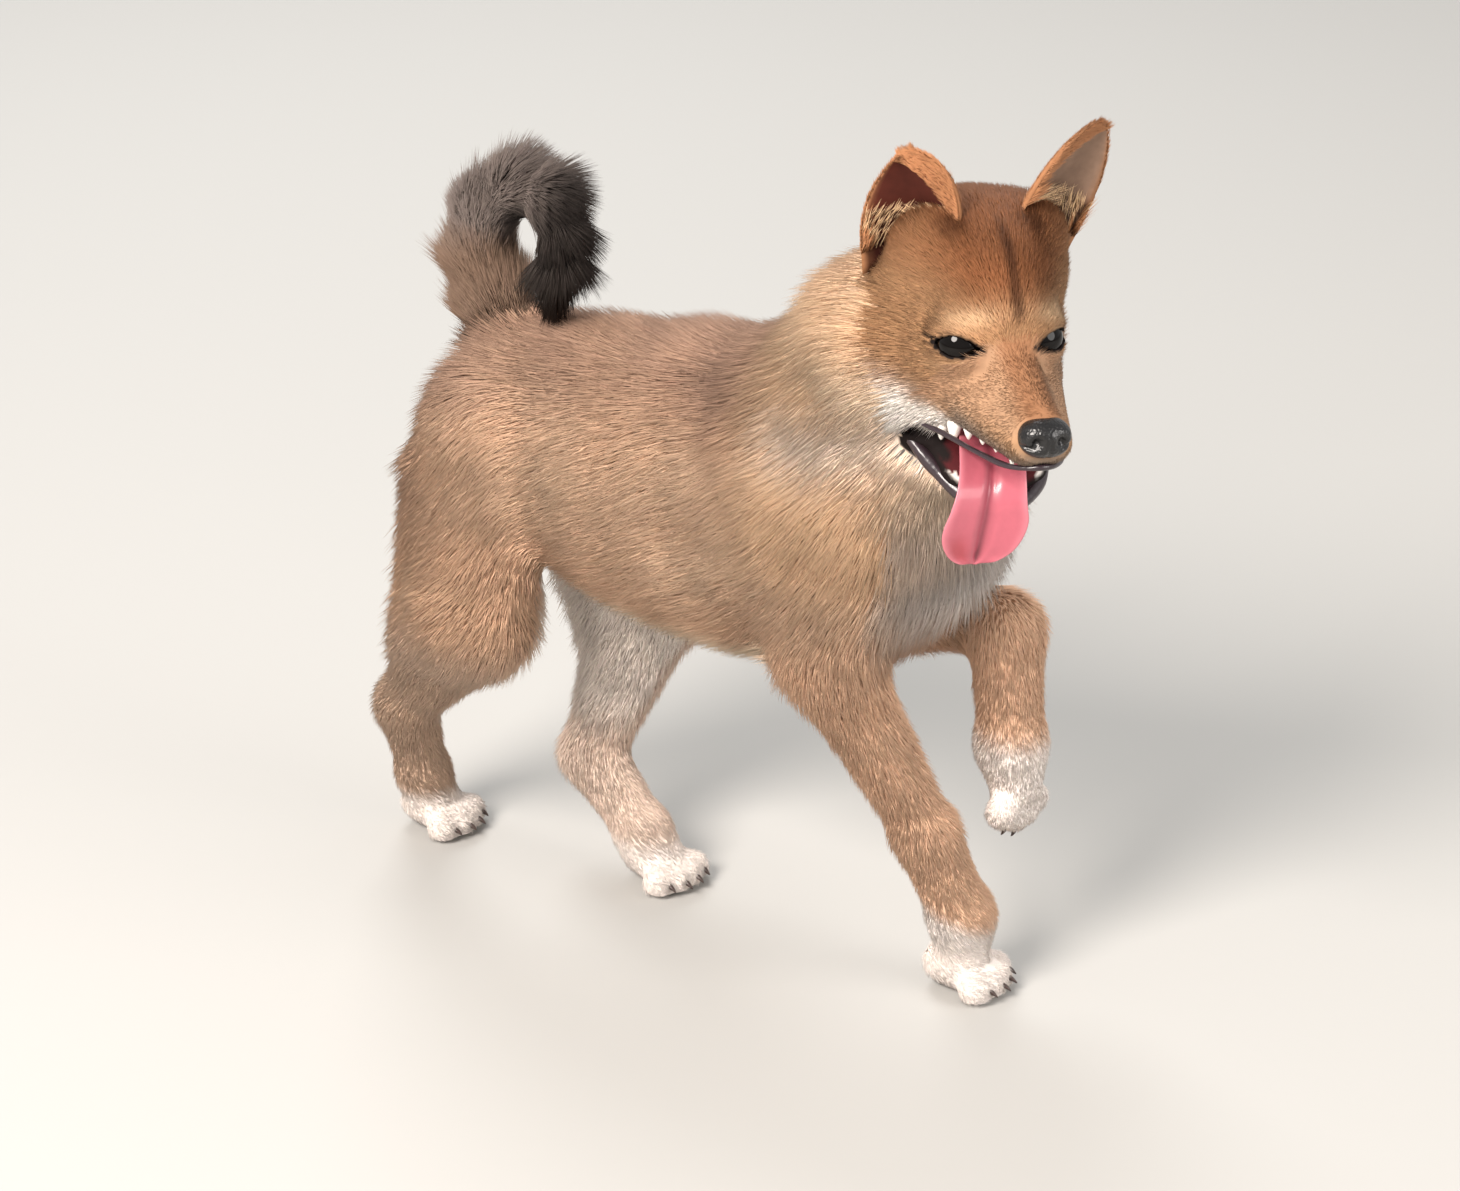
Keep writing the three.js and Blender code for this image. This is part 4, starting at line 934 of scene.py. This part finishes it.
for earName, ear in ears.items():
    front, rear, tip = onHead(*ear["front"]), onHead(*ear["rear"]), onHead(*ear["tip"])
    cup = headWay(*ear["cup"])
    wide = unit(front - rear)
    rootWay = unit((front + rear) / 2 - tip)
    rings, tonesOfEar = [], []
    for v in range(-2, earShape["levels"] + 1):
        t = max(0, v) / earShape["levels"] * 0.96
        for face in (1, -1):
            for step in range(earAcross + 1):
                s = step / earAcross if face > 0 else 1 - step / earAcross
                spine = (tip - (rear + (front - rear) * 0.5)) * t
                hollow = ear["bend"] * math.sin(math.pi * s) * (1 - t * 0.8)
                thin = (0.35 + 0.65 * math.sin(math.pi * min(0.92, max(0.08, s)))) * (1 - 0.35 * t)
                half = earShape["thickness"] / 2 * thin
                place = rear + (front - rear) * (0.5 + (s - 0.5) * earWidth(t)) + spine
                place = place + cup * (-hollow + face * half)
                rings.append(place + rootWay * earShape["rootDepth"] * max(0, -v))
                edge = abs(s - 0.5) * 2
                # Painted shade deep in the cup, darker towards its foot; the inside is also darker
                # towards the middle of the cup
                depthShade = 0.45 + 0.55 * smooth(0.0, 0.55, np.array(t))
                inner = linear(ear["inside"]) * (0.6 + 0.4 * edge ** 2) * depthShade
                rim = tones["earBack"] * 0.9
                inner = inner + (rim - inner) * smooth(0.84, 1.0, np.array(edge))
                tonesOfEar.append(inner if face > 0 else tones["earBack"])
    perRing = 2 * (earAcross + 1)
    rings = np.array(rings)
    tonesOfEar = np.array(tonesOfEar)
    ringList = [rings[i:i + perRing] for i in range(0, len(rings), perRing)]
    earPiece, earPoints, earFaces = loftMesh("ear_" + earName + "_shell", ringList, tonesOfEar)
    finishPiece(earPiece, skinMaterial, ["ear_" + earName])
    # Short hair over the back and the rim, longer pale hair from the rim into the cup
    random = np.random.default_rng(31 if earName == "left" else 32)
    earNormals = pointNormals(earPoints, earFaces)
    span = np.linalg.norm(earPoints[earFaces[:, 0]] - earPoints[earFaces[:, 2]], axis=1)
    hairy = earFaces[span > 0.1]
    hairy = hairy[hairy.min(1) >= perRing * 2]
    picked = hairy[random.integers(0, len(hairy), earShape["hairs"])]
    a, b = random.random((2, len(picked), 1))
    roots = ((1 - a) * (1 - b) * earPoints[picked[:, 0]] + a * (1 - b) * earPoints[picked[:, 1]]
             + a * b * earPoints[picked[:, 2]] + (1 - a) * b * earPoints[picked[:, 3]])
    normals = unit(earNormals[picked[:, 0]])
    tone = tonesOfEar[picked[:, 0]]
    inside = normals @ cup > 0
    foot = (front + rear) / 2
    level = np.clip((roots - foot) @ unit(tip - foot) / np.linalg.norm(tip - foot), 0, 1)
    across = (roots - foot) @ wide / np.linalg.norm(front - rear) * 2
    room = np.maximum(earWidth(np.clip(level, 0, 0.97)), 0.1)
    rimHair = inside & (np.abs(across) > 0.84 * room)
    lowHair = inside & (level < 0.22)
    isPale = lowHair & (random.random(len(roots)) < 0.6)
    tone = np.where(isPale[:, None], linear(earShape["paleHair"]), tone)
    tone = np.where(rimHair[:, None], tones["earBack"] * 1.12, tone)
    keep = ~inside | rimHair | (lowHair & (random.random(len(roots)) < 0.5))
    lie = np.where(inside[:, None], -wide * np.sign(across)[:, None] * 0.6 - rootWay, -rootWay[None])
    measures = {"length": np.where(lowHair, 9.0, np.where(rimHair, 4.4, 3.6))[keep],
                "width": np.full(keep.sum(), 0.5), "stand": np.where(inside, 0.42, 0.3)[keep]}
    sheet = np.clip(across * 0.24 + np.where(inside, 0.25, 0.75), 0.01, 0.99)
    place = np.stack([sheet, level * 0.98 + 0.01], 1)
    growTufts("coat_ear_" + earName, roots[keep], normals[keep], lie[keep], measures, tone[keep],
              place[keep], 41 if earName == "left" else 42)


# Points along a smooth curve through the given ones
def curvePoints(points, count):
    points = np.array(points, float)
    result = []
    for s in np.linspace(0, len(points) - 1, count):
        i = min(int(s), len(points) - 2)
        t = s - i
        p0, p1, p2, p3 = (points[min(max(i + k, 0), len(points) - 1)] for k in (-1, 0, 1, 2))
        result.append(0.5 * (2 * p1 + (p2 - p0) * t + (2 * p0 - 5 * p1 + 4 * p2 - p3) * t * t
                             + (3 * p1 - p0 - 3 * p2 + p3) * t ** 3))
    return np.array(result)


# Rings of points round a path
def tubeRings(points, radii, sides=12):
    rings = []
    for i, centre in enumerate(points):
        way = unit(points[min(i + 1, len(points) - 1)] - points[max(i - 1, 0)])
        one = unit(np.cross(way, np.array([0, 0, 1.0])))
        two = np.cross(way, one)
        turn = np.arange(sides) / sides * 2 * math.pi
        rings.append(centre + radii[i] * (np.cos(turn)[:, None] * one + np.sin(turn)[:, None] * two))
    return rings


print("mouth, nose and eyes")
lipSteps = 60
for name, line, thickest in (("lip_upper", upperLip, 1.2), ("lip_lower", lowerLip, 3.3)):
    path = np.array([onHead(*p) for p in curvePoints(line, lipSteps)])
    radii = thickest * (0.45 + 0.55 * np.sin(np.linspace(0.05, math.pi - 0.05, lipSteps)) ** 0.5)
    radii *= 1 + 0.1 * np.sin(np.linspace(0, 40, lipSteps))  # small folds
    piece, _, _ = loftMesh(name, tubeRings(path, radii))
    finishPiece(piece, lipMaterial, [])

# Tongue: stations on the head's frame with half the width, from the throat to the tip
tongue = {"thickness": 5.0, "steps": 44, "around": 56, "curl": 4.2, "grooveDepth": 2.6,
          "tone": "#ad5764", "grooveShade": "#7e3542", "hollowShade": "#9c3036", "rimLight": "#cf7f8a"}
tongueStations = [
    ([-26, -3, -44], 10), ([-10, -5, -45], 12), ([4, -8, -47], 13.5), ([13, -11, -53], 14),
    ([16, -13, -60], 15.5), ([16, -14, -67], 17.5), ([15.5, -15, -73], 17.2),
    ([14.5, -15.5, -78.5], 14.5), ([13, -16, -82.5], 9.8), ([12, -16, -85], 5),
    ([11.6, -16, -86], 2),
]
tongueLast = tongue["steps"] - 1
stationLine = curvePoints([s[0] for s in tongueStations], tongue["steps"])
halfLine = curvePoints([[s[1], 0, 0] for s in tongueStations], tongue["steps"])[:, 0]
across = headWay(0, 1, 0)
tongueRings, tongueTones = [], []
tongueTone, grooveShade, hollowShade, rimLight = (linear(tongue[key]) for key in (
    "tone", "grooveShade", "hollowShade", "rimLight"))
for i in range(tongue["steps"]):
    hang = smooth(14, 30, i)
    way = unit(headTurn @ (stationLine[min(i + 1, tongueLast)] - stationLine[max(i - 1, 0)]))
    out = -unit(np.cross(across, way))
    curl = tongue["curl"] - 3.4 * smooth(35, 43, i)
    ring = []
    for k in range(tongue["around"]):
        turn = (k + 0.5) / tongue["around"] * 2 * math.pi
        w = math.cos(turn)
        groove = math.exp(-((w - 0.05) / 0.15) ** 2) * min(1, i / 10) * smooth(43, 34, i)
        hollow = hang * math.exp(-((w + 0.62) / 0.3) ** 2 - ((i - 31) / 6) ** 2)
        lift = math.sin(turn) * tongue["thickness"] / 2 + curl * w * w
        if math.sin(turn) > 0:
            lift -= tongue["grooveDepth"] * groove + 1.2 * hollow
        # Painted shade darkens the groove and a hollow low on the tongue's right side; painted light
        # brightens both edges
        tone = tongueTone + (grooveShade - tongueTone) * 0.75 * groove
        tone = tone + (hollowShade - tone) * 0.6 * min(1, hollow * 1.2)
        tone = tone + (rimLight - tone) * 0.5 * smooth(0.75, 1.0, abs(w))
        tongueTones.append(tone)
        ring.append(onHead(*stationLine[i]) + across * w * halfLine[i] + out * lift)
    tongueRings.append(np.array(ring))
piece, _, _ = loftMesh("tongue_blade", tongueRings, np.array(tongueTones))
finishPiece(piece, tongueMaterial, ["tongue"])

# Teeth of the left side: root, tip and width. The right ones mirror them
toothTaper = [(0, 1), (0.35, 0.95), (0.7, 0.62), (0.92, 0.3), (1, 0.08)]
upperTeeth = [([31, 8.5, -31], [31, 8.5, -39.5], 4), ([20, 11.5, -32], [20, 11.5, -37.5], 3.6),
              ([11, 14, -32], [11, 14, -37.5], 4), ([1, 16.5, -32], [1, 16.5, -38.8], 4.8),
              ([-9, 19, -33], [-9, 19.5, -43], 6.4), ([-17, 21.5, -35], [-17, 22, -45], 6),
              ([37, 2, -31], [37.5, 2, -36], 2.6), ([36, 5, -31], [36.5, 5, -36], 2.6)]
lowerTeeth = [([-7, 8, -66], [-5, 9, -56], 5), ([-14, 15, -60], [-14, 16, -51.5], 5),
              ([-20, 19.5, -55], [-20, 20, -47.5], 6)]
for number, (root, tip, width) in enumerate(upperTeeth + lowerTeeth):
    for side in (1, -1):
        a = onHead(root[0], root[1] * side, root[2])
        b = onHead(tip[0], tip[1] * side, tip[2])
        line = [a + (b - a) * t for t, _ in toothTaper]
        rings = tubeRings(line, [width / 2 * s for _, s in toothTaper], 10)
        piece, _, _ = loftMesh("tooth_%d_%s" % (number, "left" if side > 0 else "right"), rings)
        finishPiece(piece, toothMaterial, [])


# A closed ball of points and triangles
def ballPoints(radii, around, high):
    points, faces = [[0, 0, 1.0]], []
    for i in range(1, high):
        for k in range(around):
            a, b = i / high * math.pi, k / around * 2 * math.pi
            points.append([math.sin(a) * math.cos(b), math.sin(a) * math.sin(b), math.cos(a)])
    points.append([0, 0, -1.0])
    last = len(points) - 1
    for k in range(around):
        n = (k + 1) % around
        faces.append([0, 1 + k, 1 + n])
        low = 1 + (high - 2) * around
        faces.append([last, low + n, low + k])
        for i in range(high - 2):
            r = 1 + i * around
            faces.append([r + k, r + around + k, r + around + n])
            faces.append([r + k, r + around + n, r + n])
    return np.array(points) * radii, np.array(faces)


# Nose: a broad pad with two commas for nostrils and a line down the middle
noseShape = {"radii": [8.5, 10.5, 8.0], "squareness": 0.9, "nostrilDepth": 3.4, "slitDepth": 2.2,
             "lineDepth": 0.9}
ball, ballFaces = ballPoints(np.ones(3), 96, 64)
shape = np.sign(ball) * np.abs(ball) ** noseShape["squareness"] * noseShape["radii"]
f, l, u = shape.T
aside = np.abs(l)
dip = noseShape["nostrilDepth"] * np.exp(-((aside - 4.9) / 2.0) ** 2 - ((u + 0.3) / 2.3) ** 2)
dip += noseShape["slitDepth"] * np.exp(-((aside - 8.0) / 2.4) ** 2
                                       - ((u + 2.4 - 0.15 * (aside - 8)) / 1.0) ** 2)
dip += noseShape["lineDepth"] * np.exp(-(l / 0.8) ** 2) * smooth(3, -2, u)
shape[:, 0] -= np.where(ball[:, 0] > 0, dip, 0)
nosePoints = (headTurn @ (shape + np.array(nosePlace)).T).T + eyesPlace
piece = addMesh("nose_pad", nosePoints, ballFaces)
finishPiece(piece, noseMaterial, ["nose"])

for side, name in ((1, "left"), (-1, "right")):
    points, faces = ballPoints(np.full(3, eyes["radius"]), 48, 32)
    piece = addMesh("eyeball_" + name, points + eyeCentre(side), faces)
    finishPiece(piece, eyeMaterial, ["eye_" + name])

print("claws")
claw = {"width": 2.6, "length": 4.6, "droop": 2.2, "embed": 0.7, "rise": 0.8,
        "taper": [(0, 1), (0.3, 0.9), (0.6, 0.68), (0.85, 0.4), (1, 0.12)]}
for legName, leg in legs.items():
    centre, way, across, up = pawAxes(leg)
    for number, place in enumerate(toePlaces(leg)):
        start = place + way * toes["radius"] * claw["embed"] + up * claw["rise"]
        line = [start + way * claw["length"] * t - up * claw["droop"] * t * t
                for t, _ in claw["taper"]]
        rings = tubeRings(np.array(line), [claw["width"] / 2 * s for _, s in claw["taper"]], 10)
        piece, _, _ = loftMesh("claw_%s_%d" % (legName, number), rings)
        finishPiece(piece, clawMaterial, [])


# Floor, light and camera
print("stage")
floorMesh = bpy.data.meshes.new("floor")
reach = 6  # metres from the middle to the floor's edge
floorMesh.from_pydata([(-reach, -reach, 0), (reach, -reach, 0), (reach, reach, 0), (-reach, reach, 0)],
                      [], [(0, 1, 2, 3)])
floor = bpy.data.objects.new("floor", floorMesh)
bpy.context.collection.objects.link(floor)
floorMesh.materials.append(plainMaterial("pale studio floor", "#a9a8a5", 0.8))


def areaLight(name, place, target, size, power, tone):
    data = bpy.data.lights.new(name, "AREA")
    data.shape = "DISK"
    data.size = size
    data.energy = power
    data.color = linear(tone)
    lamp = bpy.data.objects.new(name, data)
    lamp.location = place
    lamp.rotation_euler = (Vector(target) - Vector(place)).to_track_quat("-Z", "Y").to_euler()
    bpy.context.collection.objects.link(lamp)


areaLight("key light", (-0.1, -2.05, 1.75), (0.02, 0, 0.2), 1.2, 100, "#fff6ee")
areaLight("fill light", (2.2, 0.2, 1.0), (0.05, 0, 0.2), 1.6, 30, "#fbf6f2")
areaLight("rear light", (-1.4, 1.2, 1.8), (0, 0, 0.2), 1.2, 26, "#ffffff")
world = bpy.data.worlds.new("studio")
world.use_nodes = True
world.node_tree.nodes["Background"].inputs["Color"].default_value = (0.88, 0.87, 0.86, 1)
world.node_tree.nodes["Background"].inputs["Strength"].default_value = 0.55
bpy.context.scene.world = world

# The photo's camera, as it was worked out from the puppy's outline
view = {"place": (0.95085, -1.36607, 0.8675), "right": (0.819, 0.574, 0), "back": (0.528, -0.754, 0.391),
        "lens": 103.07, "sensor": 36}
right, back = Vector(view["right"]), Vector(view["back"])
turn = Matrix((right, back.cross(right), back)).transposed().to_4x4()
cameraData = bpy.data.cameras.new("camera")
cameraData.sensor_fit = "HORIZONTAL"
cameraData.sensor_width = view["sensor"]
cameraData.lens = view["lens"]
camera = bpy.data.objects.new("camera", cameraData)
camera.matrix_world = Matrix.Translation(view["place"]) @ turn
bpy.context.collection.objects.link(camera)
bpy.context.scene.camera = camera
bpy.context.scene.view_settings.view_transform = "Standard"
bpy.context.scene.view_settings.exposure = 0.4
